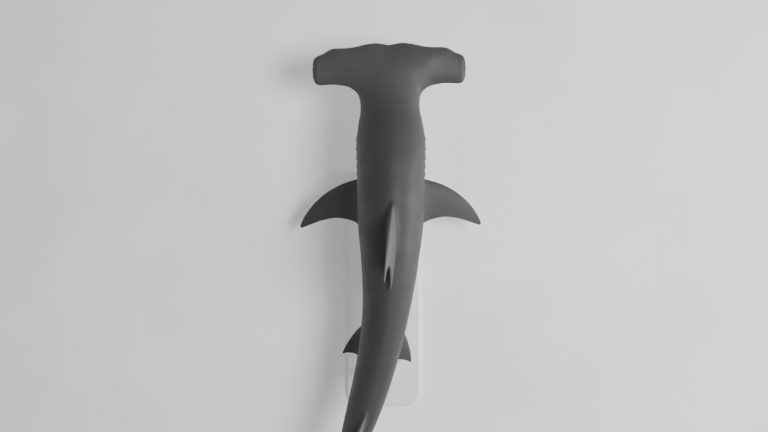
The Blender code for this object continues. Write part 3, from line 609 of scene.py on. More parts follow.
def solid(name, bm):
    """A closed bmesh as an object in the scene with its faces pointing out."""
    bmesh.ops.recalc_face_normals(bm, faces=bm.faces)
    if bm.calc_volume(signed=True) < 0:
        bmesh.ops.reverse_faces(bm, faces=bm.faces)
    mesh = bpy.data.meshes.new(name)
    bm.to_mesh(mesh)
    bm.free()
    return placed(name, mesh)


def closed_mesh(name, vertices, faces):
    """A closed mesh object from its vertices and faces."""
    mesh = bpy.data.meshes.new(name)
    mesh.from_pydata(vertices, [], faces)
    bm = opened(mesh)
    bpy.data.meshes.remove(mesh)
    return solid(name, bm)


def vertex_rows(rings):
    """The numbers of the vertices of rings with as many points each."""
    count, sides = rings.shape[:2]
    return np.arange(count * sides).reshape(count, sides)


def bands(rows, after):
    """The faces between each row of vertices and the one after it, all of them closed rings."""
    corners = (rows, np.roll(rows, -1, axis=1), np.roll(after, -1, axis=1), after)
    return np.stack(corners, -1).reshape(-1, 4).tolist()


def loft(name, rings):
    """A closed mesh through rings with as many points each, with flat ends."""
    rows = vertex_rows(rings)
    faces = bands(rows[:-1], rows[1:]) + [rows[0].tolist(), rows[-1].tolist()]
    return closed_mesh(name, rings.reshape(-1, 3).tolist(), faces)


def body(name="body", gills=True):
    """The body from the snout to inside the tail fin, with its gill flaps."""
    around = np.arange(BODY_SIDES)[None, :] * 360 / BODY_SIDES
    station = ring_stations()[:, None]
    elevation = np.degrees(np.arcsin(np.sin(np.radians(around))))
    if gills:
        station = station + ring_skew(station, elevation)
    return loft(name, body_points(station, around, gills=gills))


def head_place(across, station, level):
    """Points of the head, from their distance across, station and level in metres."""
    point, back, side, up = axis_frame(0.0)
    across, station, level = (np.asarray(value, float)[..., None] for value in (across, station, level))
    return point + across * side + station * back + level * up


def hammer_section(across):
    """The hammer's outline in an upright plane at a distance from the middle, front first."""
    u = abs(across)
    front, rear = hammer_front(u), hammer_rear(u)
    end = max(0.0, (u - HAMMER_HALF_SPAN + HAMMER_ROUND_END) / HAMMER_ROUND_END)
    closing, closing_power = HAMMER_END_CLOSING
    shrink = math.sqrt(max(0.0, 1 - (closing * end) ** closing_power))
    central = 1 - smooth_step(0.0, HAMMER_CENTRE, u)
    thickest, nose, rounding = (
        outer + change * central for outer, change in (SECTION_THICKEST, SECTION_NOSE, SECTION_ROUNDING)
    )
    half = HAMMER_POINTS // 2
    j = np.arange(HAMMER_POINTS)
    above = j <= half
    share = np.where(above, j, HAMMER_POINTS - j) / half
    along = 0.5 - 0.5 * np.cos(np.pi * share)
    nose_rise = (1 - np.clip(1 - along / thickest, 0.0, 1.0) ** nose) ** (1 / rounding)
    fall_power, fall_rounding = SECTION_TAIL
    fall = np.clip((along - thickest) / (1 - thickest), 0.0, 1.0) ** fall_power
    tail_rise = np.clip(1 - fall, 0.0, 1.0) ** fall_rounding
    rise = np.where(along < thickest, nose_rise, tail_rise)
    height = shrink * np.where(above, hammer_up(u), -hammer_down(u))
    return head_place(across, front + along * (rear - front), hammer_plane(u) + rise * height)


def hammer():
    """The wide head as a wing through sections from one end to the other, with round ends."""
    share = np.linspace(-1.0, 1.0, HAMMER_SECTIONS)
    spread = HAMMER_CROWDING * np.sin(share * np.pi / 2) + (1 - HAMMER_CROWDING) * share
    sections = [hammer_section(across) for across in spread * HAMMER_HALF_SPAN]
    _, _, side, _ = axis_frame(0.0)
    for sign in (-1, 1):
        last = sections[0] if sign < 0 else sections[-1]
        middle = last.mean(axis=0)
        for i in range(1, HAMMER_END_RINGS + 1):
            turn = math.radians(HAMMER_END_TURN) * i / HAMMER_END_RINGS
            ring = middle + (last - middle) * math.cos(turn)
            ring = ring + sign * HAMMER_END_BULGE * math.sin(turn) * side
            sections.insert(0 if sign < 0 else len(sections), ring)
    return loft("hammer", np.array(sections))


def surface_of(obj):
    """A tree that finds the nearest place of an object's mesh."""
    bm = opened(obj.data)
    bm.transform(obj.matrix_world)
    tree = BVHTree.FromBMesh(bm)
    bm.free()
    return tree


def together(*forms):
    """Several solids that don't touch each other as one object."""
    bm = bmesh.new()
    for form in forms:
        bm.from_mesh(form.data)
    bm.to_mesh(forms[0].data)
    bm.free()
    for form in forms[1:]:
        bpy.data.objects.remove(form)
    return forms[0]


def combine(obj, other, operation):
    """Joins another solid to obj or cuts it from obj, and removes the other."""
    modifier = obj.modifiers.new(operation.lower(), "BOOLEAN")
    modifier.operation = operation
    modifier.solver = "MANIFOLD"
    modifier.object = other
    mesh = final_mesh(obj)
    obj.modifiers.clear()
    if len(mesh.vertices) == len(obj.data.vertices):
        raise RuntimeError(f"{operation} with {other.name} left {obj.name} as it was")
    obj.data = mesh
    bpy.data.objects.remove(other)


def read_rows(items, key, width, kind=float):
    """One property of all vertices or edges, with a row for each."""
    values = np.empty(len(items) * width, kind)
    items.foreach_get(key, values)
    return values.reshape(-1, width)


def read_points(obj):
    return read_rows(obj.data.vertices, "co", 3)


def write_points(obj, points):
    obj.data.vertices.foreach_set("co", points.ravel())
    obj.data.update()


def read_edges(obj):
    return read_rows(obj.data.edges, "vertices", 2, np.int32)


def read_normals(obj):
    return read_rows(obj.data.vertices, "normal", 3)


def neighbour_means(edges, count):
    """A function that turns values at the vertices into the means of their neighbours' values."""
    ends = np.concatenate((edges[:, 0], edges[:, 1]))
    others = np.concatenate((edges[:, 1], edges[:, 0]))
    neighbours = np.maximum(np.bincount(ends, minlength=count), 1)
    return lambda values: np.bincount(ends, values[others], minlength=count) / neighbours


def even_out(obj, share, rounds):
    """Moves each vertex towards the middle of its neighbours, this many times."""
    weight = EVENING * share
    points, edges = read_points(obj), read_edges(obj)
    means = neighbour_means(edges[(weight[edges] > 0).any(axis=1)], len(points))
    for _ in range(rounds):
        middle = np.stack([means(points[:, k]) for k in range(3)], -1)
        points += weight[:, None] * (middle - points) * (weight > 0)[:, None]
    write_points(obj, points)


def near_box(points, places, reach):
    """The numbers of the points in a box round some places, this far beyond them."""
    low, high = places.min(axis=0) - reach, places.max(axis=0) + reach
    return np.flatnonzero(((points > low) & (points < high)).all(axis=1))


def distances_to(places, points, reach):
    """How far each point is from the nearest of some places, or the reach where it is farther."""
    tree = KDTree(len(places))
    for i, place in enumerate(places):
        tree.insert(place, i)
    tree.balance()
    distance = np.full(len(points), reach)
    for i in near_box(points, np.array(places), reach):
        distance[i] = min(reach, tree.find(points[i])[2])
    return distance


def short_edges(bm, chosen, shortest):
    """Pairs of vertices to merge, far enough apart that each merge keeps the surface closed."""
    near = {e for v in chosen for e in v.link_edges if chosen.issuperset(e.verts)}
    short = [(e.calc_length(), e.index, e) for e in near if e.calc_length() < shortest]
    taken, merges = set(), {}
    for _, _, edge in sorted(short):
        first, second = edge.verts
        around_first = {e.other_vert(first) for e in first.link_edges}
        around_second = {e.other_vert(second) for e in second.link_edges}
        around, both = around_first | around_second, around_first & around_second
        if len(both) == 2 and min(len(v.link_edges) for v in both) > 3 and not taken & around:
            taken |= around
            merges[second] = first
    return merges


def merge_near(obj, near, shortest):
    """Collapses the short edges that a union left among the near vertices."""
    bm = opened(obj.data)
    bm.verts.ensure_lookup_table()
    chosen = {bm.verts[i] for i in near}
    bmesh.ops.triangulate(bm, faces=list({f for v in chosen for f in v.link_faces}))
    for _ in range(MERGE_ROUNDS):
        bm.edges.index_update()
        merges = short_edges(bm, chosen, shortest)
        chosen.difference_update(merges)
        bmesh.ops.weld_verts(bm, targetmap=merges)
    if all(edge.is_manifold for edge in bm.edges):
        bm.to_mesh(obj.data)
    bm.free()


def join(obj, form, reach, rounds):
    """Joins a form to obj, and softens the crease between them out to a reach."""
    old, new = surface_of(obj), surface_of(form)
    form_points = read_points(form)
    combine(obj, form, "UNION")
    points = read_points(obj)
    seam = []
    for i in near_box(points, form_points, SEAM_CLOSE):
        if new.find_nearest(points[i], SEAM_CLOSE)[0] and old.find_nearest(points[i], SEAM_CLOSE)[0]:
            seam.append(points[i])
    merge_near(obj, np.flatnonzero(distances_to(seam, points, reach) < reach / 2), SEAM_SHORTEST)
    distance = distances_to(seam, read_points(obj), reach)
    even_out(obj, 1 - smooth_step(SEAM_CORE * reach, reach, distance), rounds)


def blade(place, chord, normal, front, hind, thickness, thickest):
    """Sections of a fin as points round each: nose, one face to the hind edge, and back."""
    half = FIN_POINTS // 2
    along = 0.5 - 0.5 * np.cos(np.pi * np.arange(1, half + 1) / half)
    nose_rise = np.sqrt(1 - (1 - np.minimum(along / thickest, 1.0)) ** 2)
    tail_rise = 1 - np.clip((along - thickest) / (1 - thickest), 0.0, 1.0) ** HIND_FULLNESS
    rise = np.where(along < thickest, nose_rise, tail_rise)
    out = np.maximum(rise * thickness[:, None] / 2, FIN_MIN_THICKNESS / 2)[..., None] * normal
    run = (front[:, None] + along * (hind - front)[:, None])[..., None] * chord
    nose = (place + front[:, None] * chord)[:, None, :]
    upper, lower = place[:, None, :] + run + out, place[:, None, :] + run - out
    return np.concatenate((nose, upper, lower[:, ::-1]), axis=1)


def span_shares(low, span):
    """Even shares of a fin's span from a low one, with more at the tip, and how far each is kept."""
    inner = np.arange(low * span, span - FIN_TIP, FIN_SECTION_STEP)
    turn = np.linspace(0.0, np.pi / 2, FIN_TIP_SECTIONS)
    shares = np.concatenate((inner, span - FIN_TIP + FIN_TIP * np.sin(turn))) / span
    keep = np.concatenate((np.ones(len(inner)), np.maximum(np.cos(turn), FIN_TIP_KEEP)))
    return shares, keep


def rounded(front, hind, keep):
    """Front and hind margins drawn towards each other at a tip."""
    middle, half = (front + hind) / 2, (hind - front) / 2 * keep
    return middle - half, middle + half


def fin_loft(name, shape, start, axes, low, taper, flaring):
    """A fin from a low share of its span to its tip; its axes are (outward, chord, normal)."""
    outward, chord, normal = axes
    shares, keep = span_shares(low, shape["span"])
    above = np.maximum(shares, 0.0)
    flare = flaring * np.exp(-above * shape["span"] / FLARE_REACH)
    root_thick, tip_thick = shape["thick"]
    thickness = (tip_thick + (root_thick - tip_thick) * (1 - above) ** taper) * keep
    front, hind = rounded(Profile(shape["front"])(shares), Profile(shape["hind"])(shares), keep)
    place = (
        start + shares[:, None] * shape["span"] * outward
        + shape.get("sweep", 0.0) * above[:, None] * chord
        + shape.get("bend", 0.0) * above[:, None] ** 2 * normal
    )
    rings = blade(
        place, chord, normal, front - FLARE_CHORD * flare, hind, thickness * (1 + FLARE_THICKNESS * flare),
        shape.get("thickest", FIN_THICKEST),
    )
    return loft(name, rings)


def fin(name, shape):
    """A fin with its root sunk in the body, where it flares."""
    first, last = (station * PERCENT for station in shape["base"])
    start, end = body_points([first, last], shape["place"], gills=False)
    chord = unit(end - start)
    _, _, side, up = axis_frame((first + last) / 2)
    lean = math.radians(shape["lean"])
    outward = math.cos(lean) * side + math.sin(lean) * up
    outward = unit(outward - np.dot(outward, chord) * chord)
    axes = (outward, chord, np.cross(chord, outward))
    return fin_loft(name, shape, start, axes, -shape["root"] / shape["span"], FIN_TAPER, 1.0)


def mirrored(shape):
    """The same fin on the shark's other side."""
    return {**shape, "place": 180 - shape["place"], "lean": 180 - shape["lean"], "bend": -shape["bend"]}


def fin_shapes():
    shapes = dict(FINS)
    for name, changes in RIGHT_FINS.items():
        shapes[name] = {**mirrored(FINS[name.replace("right", "left")]), **changes}
    return shapes


def lobe(name, shape):
    """One lobe of the tail fin, without a flare."""
    point, back, normal, up = axis_frame(CAUDAL_STATION * PERCENT)
    angle = math.radians(shape["angle"])
    outward = math.cos(angle) * back + math.sin(angle) * up
    chord = shape["chord_sign"] * (math.sin(angle) * back - math.cos(angle) * up)
    start = point + shape["start"][0] * back + shape["start"][1] * up
    axes = (outward, chord, normal)
    return fin_loft(name, shape, start, axes, shape["front"][0][0], LOBE_TAPER, 0.0)


def tube_fullness(count, least):
    """The share of its full radius that a tube with thin ends has at each of its points."""
    return least + (1 - least) * np.sqrt(np.abs(np.sin(np.linspace(0.0, np.pi, count))))


def tube(name, points, radius, least=TUBE_END):
    """A closed round tube along points that thins towards both its ends."""
    curve = bpy.data.curves.new(name, "CURVE")
    curve.dimensions = "3D"
    curve.bevel_depth = radius
    curve.bevel_resolution = TUBE_ROUNDING
    curve.use_fill_caps = True
    spline = curve.splines.new("POLY")
    spline.points.add(len(points) - 1)
    for i, (p, fullness) in enumerate(zip(points, tube_fullness(len(points), least))):
        spline.points[i].co = (*p, 1.0)
        spline.points[i].radius = fullness
    drawn = placed(name, curve)
    bm = opened(final_mesh(drawn))
    bpy.data.objects.remove(drawn)
    bmesh.ops.remove_doubles(bm, verts=bm.verts, dist=SAME_POINT)
    bm.verts.index_update()
    vertices = [v.co.copy() for v in bm.verts]
    faces = [[v.index for v in f.verts] for f in bm.faces]
    bm.free()
    return closed_mesh(name, vertices, faces)


def mouth_line(surface, sink):
    """Points along the arch of the mouth, sunk this far into the underside of the head."""
    hits, normals = [], []
    for i in range(MOUTH_STEPS + 1):
        share = 2 * i / MOUTH_STEPS - 1
        station = MOUTH_FRONT + (MOUTH_CORNER_STATION - MOUTH_FRONT) * abs(share) ** MOUTH_ARCH
        below = head_place(share * MOUTH_CORNER_ACROSS, station, -AXIS_HEIGHT)
        hit, normal, _, _ = surface.ray_cast(Vector(below), Vector((0.0, 0.0, 1.0)))
        hits.append(hit)
        normals.append(normal)
    points = []
    for i, hit in enumerate(hits):
        around = sum(normals[max(0, i - MOUTH_EVENING):i + MOUTH_EVENING + 1], Vector())
        points.append(hit - sink * around.normalized())
    return points


def nostril_line(sign):
    """Points along one nostril, just under the hammer's front edge."""
    across = np.linspace(NOSTRIL_INNER, NOSTRIL_OUTER, NOSTRIL_STEPS + 1)
    return head_place(sign * across, hammer_front(across), hammer_plane(across) - NOSTRIL_DROP)


def eye_place(sign):
    """The place and turn of an eye, its local Z pointing out of the head; sign is 1 on the left."""
    outward = Matrix.Rotation(math.radians(-sign * EYE_FORWARD), 3, "Z") @ Vector((sign, 0.0, 0.0))
    place = Vector(head_place(sign * EYE_ACROSS, EYE_STATION, EYE_LEVEL))
    return Matrix.Translation(place) @ outward.to_track_quat("Z", "Y").to_matrix().to_4x4()


def ball(name, size, place, sides=EYE_SIDES):
    """A ball with a radius along each axis."""
    bm = bmesh.new()
    bmesh.ops.create_uvsphere(bm, u_segments=sides[0], v_segments=sides[1], radius=1.0)
    bmesh.ops.scale(bm, verts=bm.verts, vec=size)
    bmesh.ops.transform(bm, verts=bm.verts, matrix=place)
    return solid(name, bm)


def lid_ring(name, place):
    """The rim of both eyelids, a ring round the eye's opening that is thicker above."""
    around = np.linspace(0.0, 2 * np.pi, LID_SECTIONS, endpoint=False)[:, None]
    turn = np.linspace(0.0, 2 * np.pi, LID_SIDES, endpoint=False)[None, :]
    thick = LID_THICKNESS * (1 - LID_THINNING + LID_THINNING * np.sin(around))
    radius = LID_RING + thick * np.cos(turn)
    rings = np.stack(
        (radius * np.cos(around), radius * np.sin(around), LID_OUT + thick * np.sin(turn)), -1
    )
    rows = vertex_rows(rings)
    vertices = [place @ Vector(p) for p in rings.reshape(-1, 3)]
    return closed_mesh(name, vertices, bands(rows, np.roll(rows, -1, axis=0)))


def off_eye(points, place):
    """Points measured from an eye's middle, along its own axes."""
    return (points - np.array(place.translation)) @ np.array(place.to_3x3())


def in_box(skin, box):
    """1 at the vertices in a box behind the snout, fading to 0 round it."""
    points = read_points(skin) - np.array((AXIS_X, SNOUT_Y, 0.0))
    low, high, half = box
    return (
        smooth_step(low - BOX_FADE, low + BOX_FADE, points[:, 1])
        * (1 - smooth_step(high - BOX_FADE, high + BOX_FADE, points[:, 1]))
        * (1 - smooth_step(half - BOX_FADE, half + BOX_FADE, np.abs(points[:, 0])))
    )


def soften_head(skin):
    """Lets the hammer and the body run into each other at the neck and on the crown."""
    even_out(skin, in_box(skin, NECK_BOX), NECK_ROUNDS)
    upward = smooth_step(*CROWN_FACING, read_normals(skin)[:, 2])
    even_out(skin, in_box(skin, CROWN_BOX) * upward, CROWN_ROUNDS)


def add_face(skin):
    """Mouth with its lips, nostrils, and lids round the sockets of the eyes."""
    surface = surface_of(skin)
    lips = tube("lips", mouth_line(surface, LIP_SINK), LIP_RADIUS)
    groove = tube("groove", mouth_line(surface, -MOUTH_RISE), MOUTH_GROOVE)
    join(skin, lips, *LIP_SEAM)
    places = [eye_place(sign) for sign in (1, -1)]
    join(skin, together(*(ball("mound", MOUND_SIZE, place) for place in places)), *MOUND_SEAM)
    join(skin, together(*(lid_ring("lids", place) for place in places)), *LID_SEAM)
    sockets = [ball("socket", [EYE_RADIUS + GAP] * 3, place, SOCKET_SIDES) for place in places]
    nostrils = [tube("nostril", nostril_line(sign), NOSTRIL_RADIUS, NOSTRIL_END) for sign in (1, -1)]
    combine(skin, together(groove, *sockets, *nostrils), "DIFFERENCE")
    out = Matrix.Translation((0.0, 0.0, OPENING_OUT))
    openings = [ball("opening", OPENING_SIZE, place @ out, OPENING_SIDES) for place in places]
    combine(skin, together(*openings), "DIFFERENCE")
    for place in places:
        offset = off_eye(read_points(skin), place)
        near = 1 - smooth_step(*RIM_REACH, np.linalg.norm(offset, axis=1))
        even_out(skin, near * smooth_step(*RIM_OUT, offset[:, 2]), RIM_ROUNDS)


def draw_in(skin):
    """Draws the snout back by what it stands out of the solids' box."""
    points = read_points(skin)
    front = points[:, 1].min()
    beyond = max(0.0, CAD_BOX[0][1] - front)
    points[:, 1] += beyond * (1 - smooth_step(0.0, SNOUT_EASE, points[:, 1] - front))
    write_points(skin, points)


def skin_shape():
    """The whole skin as one mesh: body, head, fins and tail fin."""
    skin = body("skin")
    join(skin, hammer(), *HAMMER_SEAM)
    soften_head(skin)
    add_face(skin)
    for name, shape in (("upper", UPPER_LOBE), ("lower", LOWER_LOBE)):
        join(skin, lobe(name, shape), *LOBE_SEAM)
    join(skin, together(*(fin(name, shape) for name, shape in fin_shapes().items())), *FIN_SEAM)
    draw_in(skin)
    return skin


def body_place(points):
    """(station, distance across, level) of points against the body's axis."""
    station = points[:, 1] - SNOUT_Y
    for _ in range(PLACE_ROUNDS):
        point, back, _, _ = axis_frame(station)
        station = station + ((points - point) * back).sum(axis=-1)
    point, _, side, up = axis_frame(station)
    return station, ((points - point) * side).sum(axis=-1), ((points - point) * up).sum(axis=-1)


def mark(obj, name, values):
    """Keeps a number at each vertex for the material."""
    attribute = obj.data.attributes.new(name, "FLOAT", "POINT")
    attribute.data.foreach_set("value", np.asarray(values, np.float32))


def evened(values, edges, rounds):
    """Values at the vertices, each moved towards its neighbours' mean this many times."""
    means = neighbour_means(edges, len(values))
    for _ in range(rounds):
        values = (1 - EVENING) * values + EVENING * means(values)
    return values


def nostril_pit_shade(points):
    """Painted shade, 1 deep inside the nostrils and fading to 0 at their rims."""
    marks = np.zeros(len(points))
    _, back, _, _ = axis_frame(0.0)
    for sign in (1, -1):
        line = nostril_line(sign)
        radius = NOSTRIL_RADIUS * tube_fullness(len(line), NOSTRIL_END)
        near = near_box(points, line, NOSTRIL_RADIUS)
        offset = points[near, None, :] - line
        clear = np.linalg.norm(offset, axis=-1) - radius
        closest = clear.argmin(axis=1)[:, None]
        inside = np.take_along_axis(clear, closest, 1)[:, 0] < PIT_CLOSE
        depth = np.take_along_axis(offset @ back, closest, 1)[:, 0] / NOSTRIL_RADIUS
        marks[near] = inside * smooth_step(*PIT_DEPTH, depth)
    return marks


def mark_skin(skin, mouth, eyes):
    """Puts the places of the markings, and of the painted shade and light, on the skin."""
    points = read_points(skin)
    station, across, level = body_place(points)
    radius = np.maximum(np.hypot(across, level - widest_level(station)), SAME_POINT)
    elevation = np.degrees(np.arcsin(np.clip((level - widest_level(station)) / radius, -1.0, 1.0)))
    facing = evened(-read_normals(skin)[:, 2], read_edges(skin), BELLY_ROUNDS)
    for place in eyes:
        offset = points - np.array(place.translation)
        near = 1 - smooth_step(*LID_MARK_REACH, np.linalg.norm(offset, axis=1))
        facing += near * (1 - smooth_step(*LID_MARK_LEVEL, offset[:, 2]) - facing)
    # Painted shade deep in the nostrils
    nostril_shade = nostril_pit_shade(points)
    mark(skin, "belly", np.where(nostril_shade > 0, 0.0, np.clip(facing, 0.0, 1.0)))
    # Painted shade inside the gill slits, darker where the skin sinks deeper
    on_flank = np.abs(across) > FLANK_SHARE * half_width(station)
    mark(skin, "slit", on_flank * np.clip(-gill_move(station, elevation) / SLIT_DARK, 0.0, 1.0))
    # Painted shade along the mouth's line, and deep in the nostrils
    lips = 1 - smooth_step(*CREASE_REACH, distances_to(mouth, points, CREASE_SEARCH))
    lips = lips * (1 - smooth_step(*CORNER_FADE, np.abs(across) / MOUTH_CORNER_ACROSS))
    mark(skin, "crease", np.maximum(lips, nostril_shade))
    mark(skin, "spine", smooth_step(*SPINE_ELEVATION, elevation) * smooth_step(*SPINE_START, station))
    mark(skin, "head", 1 - smooth_step(*HEAD_END, station))
    behind_head = smooth_step(*FINS_START, station)
    # Painted shade, darker paired fins beyond the body's side
    beside = smooth_step(*BESIDE_BODY, np.abs(across) / half_width(station))
    mark(skin, "paired_fin_shade", behind_head * beside)
    # Painted light, paler dorsal fins above the body
    above = smooth_step(*ABOVE_BODY, level - top_level(station))
    mark(skin, "dorsal_fin_light", behind_head * above * (1 - smooth_step(*DORSAL_END, station)))


class Graph:
    """Adds nodes to a material, all of them in object space in metres."""

    def __init__(self, name):
        self.material = bpy.data.materials.new(name)
        self.material.use_nodes = True
        self.tree = self.material.node_tree
        self.shader = self.tree.nodes["Principled BSDF"]
        self.place = self.tree.nodes.new("ShaderNodeTexCoord").outputs["Object"]

    def link(self, value, socket):
        """Sets a socket to another node's output, a number or a colour."""
        if isinstance(value, bpy.types.NodeSocket):
            self.tree.links.new(value, socket)
        else:
            socket.default_value = value

    def node(self, kind, output, inputs, **settings):
        """One output of a new node with these inputs and settings."""
        node = self.tree.nodes.new("ShaderNode" + kind)
        for name, value in settings.items():
            setattr(node, name, value)
        for key, value in inputs.items():
            self.link(value, node.inputs[key])
        return node.outputs[output]

    def stretched(self, scale):
        return self.node("Mapping", "Vector", {"Vector": self.place, "Scale": scale})

    def noise(self, scale, detail=4.0, roughness=0.55, vector=None):
        inputs = {"Scale": scale, "Detail": detail, "Roughness": roughness}
        return self.node("TexNoise", "Fac", {"Vector": vector or self.place, **inputs})

    def cells(self, scale):
        """Distance to the nearest of scattered points."""
        return self.node("TexVoronoi", "Distance", {"Vector": self.place, "Scale": scale})

    def attribute(self, name):
        return self.node("Attribute", "Fac", {}, attribute_name=name)

    def math(self, operation, *values):
        return self.node("Math", 0, dict(enumerate(values)), operation=operation)

    def ramp(self, value, low, high, low_out=0.0, high_out=1.0):
        """A smooth step of value from low to high."""
        inputs = {"Value": value, 1: low, 2: high, 3: low_out, 4: high_out}
        return self.node("MapRange", "Result", inputs, interpolation_type="SMOOTHSTEP")

    def mix(self, share, first, second):
        return self.node("Mix", 2, {0: share, 6: first, 7: second}, data_type="RGBA")

    def bump(self, height, distance, strength, before=None):
        inputs = {"Height": height, "Distance": distance, "Strength": strength}
        if before:
            inputs["Normal"] = before
        return self.node("Bump", "Normal", inputs)

    def set(self, **sockets):
        """Sets the shader's sockets, named with underscores for spaces."""
        for name, value in sockets.items():
            self.link(value, self.shader.inputs[name.replace("_", " ")])


def skin_material():
    """Dark grey skin above, white below, with fine rough scales. Painted shade lies in the slits,
    along the mouth, in the nostrils and on the paired fins, and painted light on the dorsal fins.
    """
    graph = Graph("shark_skin")
    cloud = graph.noise(3.2, 5.0)
    blotch = graph.noise(16.0)
    grain = graph.noise(420.0, 2.0)
    back = graph.mix(graph.ramp(cloud, 0.35, 0.68), BACK_DARK, BACK_LIGHT)
    # Among these marks, the paired fins' tone is painted shade and the dorsal fins' tone painted light
    for place, share, colour in BACK_MARKS:
        back = graph.mix(graph.math("MULTIPLY", graph.attribute(place), share), back, colour)
    back = graph.mix(graph.ramp(blotch, 0.52, 0.74, high_out=0.25), back, BACK_BLOTCH)
    scratch = graph.noise(1.0, 3.0, 0.5, graph.stretched((260.0, 7.0, 260.0)))
    back = graph.mix(graph.ramp(scratch, 0.70, 0.76, high_out=0.25), back, BACK_SCRATCH)
    white = graph.mix(graph.ramp(blotch, 0.40, 0.72, high_out=0.5), BELLY_LIGHT, BELLY_SHADE)
    waver = graph.math("MULTIPLY_ADD", graph.noise(9.0, 6.0, 0.65), 0.5, -0.25)
    facing = graph.math("ADD", graph.attribute("belly"), waver)
    base = graph.mix(graph.ramp(facing, BELLY_START, BELLY_FULL), back, white)
    base = graph.mix(graph.math("MULTIPLY", graph.ramp(grain, 0.30, 0.70), 0.16), base, GRAIN_COLOUR)
    under_head = graph.math("MULTIPLY", graph.attribute("head"), graph.attribute("belly"))
    pores = graph.math("MULTIPLY", graph.ramp(graph.cells(150.0), 0.10, 0.22, 1.0, 0.0), under_head)
    base = graph.mix(graph.math("MULTIPLY", pores, 0.55), base, SHADE_AND_PORE_COLOUR)
    # Painted shade in the gill slits, along the mouth's line and in the nostrils
    painted_shade = graph.math("MAXIMUM", graph.attribute("slit"), graph.attribute("crease"))
    base = graph.mix(graph.math("MULTIPLY", painted_shade, 0.85), base, SHADE_AND_PORE_COLOUR)
    rough = graph.ramp(graph.noise(9.0), 0.3, 0.7, 0.56, 0.68)
    scales = graph.bump(graph.noise(900.0, 1.0), 0.0002, 0.5)
    folds = graph.bump(graph.noise(45.0, 3.0), 0.0004, 0.12, scales)
    graph.set(
        Base_Color=base, Roughness=rough, Normal=folds, IOR=1.40, Coat_Weight=0.04, Coat_Roughness=0.40,
    )
    return graph.material


def eye_material():
    """A glossy eye, nearly black, with a grey iris round an upright pupil."""
    graph = Graph("shark_eye")
    off = graph.attribute("off_axis")
    streaks = graph.noise(300.0)
    iris = graph.mix(streaks, IRIS_DARK, IRIS_LIGHT)
    iris = graph.mix(graph.ramp(off, *IRIS_EDGE), iris, EYE_BLACK)
    base = graph.mix(graph.ramp(graph.attribute("pupil"), *PUPIL_EDGE), EYE_BLACK, iris)
    graph.set(Base_Color=base, Roughness=0.12, IOR=1.36, Coat_Weight=0.15, Coat_Roughness=0.03)
    return graph.material


def base_material():
    """Satin off-white paint with a fine orange-peel surface."""
    graph = Graph("stand_paint")
    tone = graph.mix(graph.ramp(graph.noise(5.0), 0.35, 0.65), BASE_LIGHT, BASE_SHADE)
    rough = graph.ramp(graph.noise(14.0), 0.3, 0.7, 0.36, 0.46)
    peel = graph.bump(graph.noise(350.0, 2.0), 0.00015, 0.5)
    graph.set(Base_Color=tone, Roughness=rough, Normal=peel)
    return graph.material


def rod_material():
    """Turned and brushed steel, its lines running round the rod."""
    graph = Graph("stand_steel")
    lines = graph.noise(1.0, 3.0, 0.6, graph.stretched((6.0, 6.0, 1400.0)))
    tone = graph.mix(lines, STEEL_SHADE, STEEL_LIGHT)
    rough = graph.ramp(lines, 0.3, 0.7, 0.24, 0.38)
    graph.set(
        Base_Color=tone, Metallic=1.0, Roughness=rough, Normal=graph.bump(lines, 0.00005, 0.5),
    )
    return graph.material


def shade_smooth(obj, angle=None):
    """Smooth shading, with sharp edges where faces meet at more than an angle."""
    obj.data.polygons.foreach_set("use_smooth", [True] * len(obj.data.polygons))
    if angle:
        bm = opened(obj.data)
        for edge in bm.edges:
            edge.smooth = edge.calc_face_angle(0.0) < math.radians(angle)
        bm.to_mesh(obj.data)
        bm.free()


def dress(obj, material, slot_name, *nodes, angle=None):
    """Gives a finished piece its material and smooth shading, sets it under the root, and hides the
    nodes that it stands for. Its slot_name is not used.
    """
    obj.data.materials.clear()
    obj.data.materials.append(material)
    shade_smooth(obj, angle)
    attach(obj, "root")
    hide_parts(*nodes)


def add_skin():
    skin = skin_shape()
    surface = surface_of(skin)
    mark_skin(skin, mouth_line(surface, 0.0), [eye_place(sign) for sign in (1, -1)])
    nodes = [row["node"] for row in frame["record"]["subparts"] if row["material_slot"] == "skin"]
    dress(skin, skin_material(), "skin", *nodes)


def add_eyes():
    material = eye_material()
    for side, sign in (("left", 1), ("right", -1)):
        place = eye_place(sign)
        eye = ball(f"eyeball_{side}", [EYE_RADIUS] * 3, place)
        offset = off_eye(read_points(eye), place) / EYE_RADIUS
        mark(eye, "off_axis", np.degrees(np.arccos(np.clip(offset[:, 2], -1.0, 1.0))))
        narrow = np.hypot(offset[:, 0] * PUPIL_NARROWING, offset[:, 1])
        mark(eye, "pupil", np.degrees(np.arctan2(narrow, offset[:, 2])))
        dress(eye, material, "eye", f"eye_{side}")


def round_edges(bm, edges, radius, steps):
    bmesh.ops.bevel(bm, geom=edges, offset=radius, segments=steps, profile=0.5, affect="EDGES")


def base_plate():
    """The stand's plate with round corners and a rounded upper edge."""
    low, high = (Vector(corner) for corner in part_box("stand_base"))
    bm = bmesh.new()
    bmesh.ops.create_cube(bm, size=1.0)
    bmesh.ops.scale(bm, verts=bm.verts, vec=high - low)
    bmesh.ops.translate(bm, verts=bm.verts, vec=(low + high) / 2)
    corners = [e for e in bm.edges if abs(e.verts[0].co.z - e.verts[1].co.z) > (high.z - low.z) / 2]
    round_edges(bm, corners, BASE_CORNER, BASE_CORNER_STEPS)
    rim = [e for e in bm.edges if min(v.co.z for v in e.verts) > (low.z + high.z) / 2]
    round_edges(bm, rim, BASE_BEVEL, BASE_BEVEL_STEPS)
    return solid("stand_plate", bm)


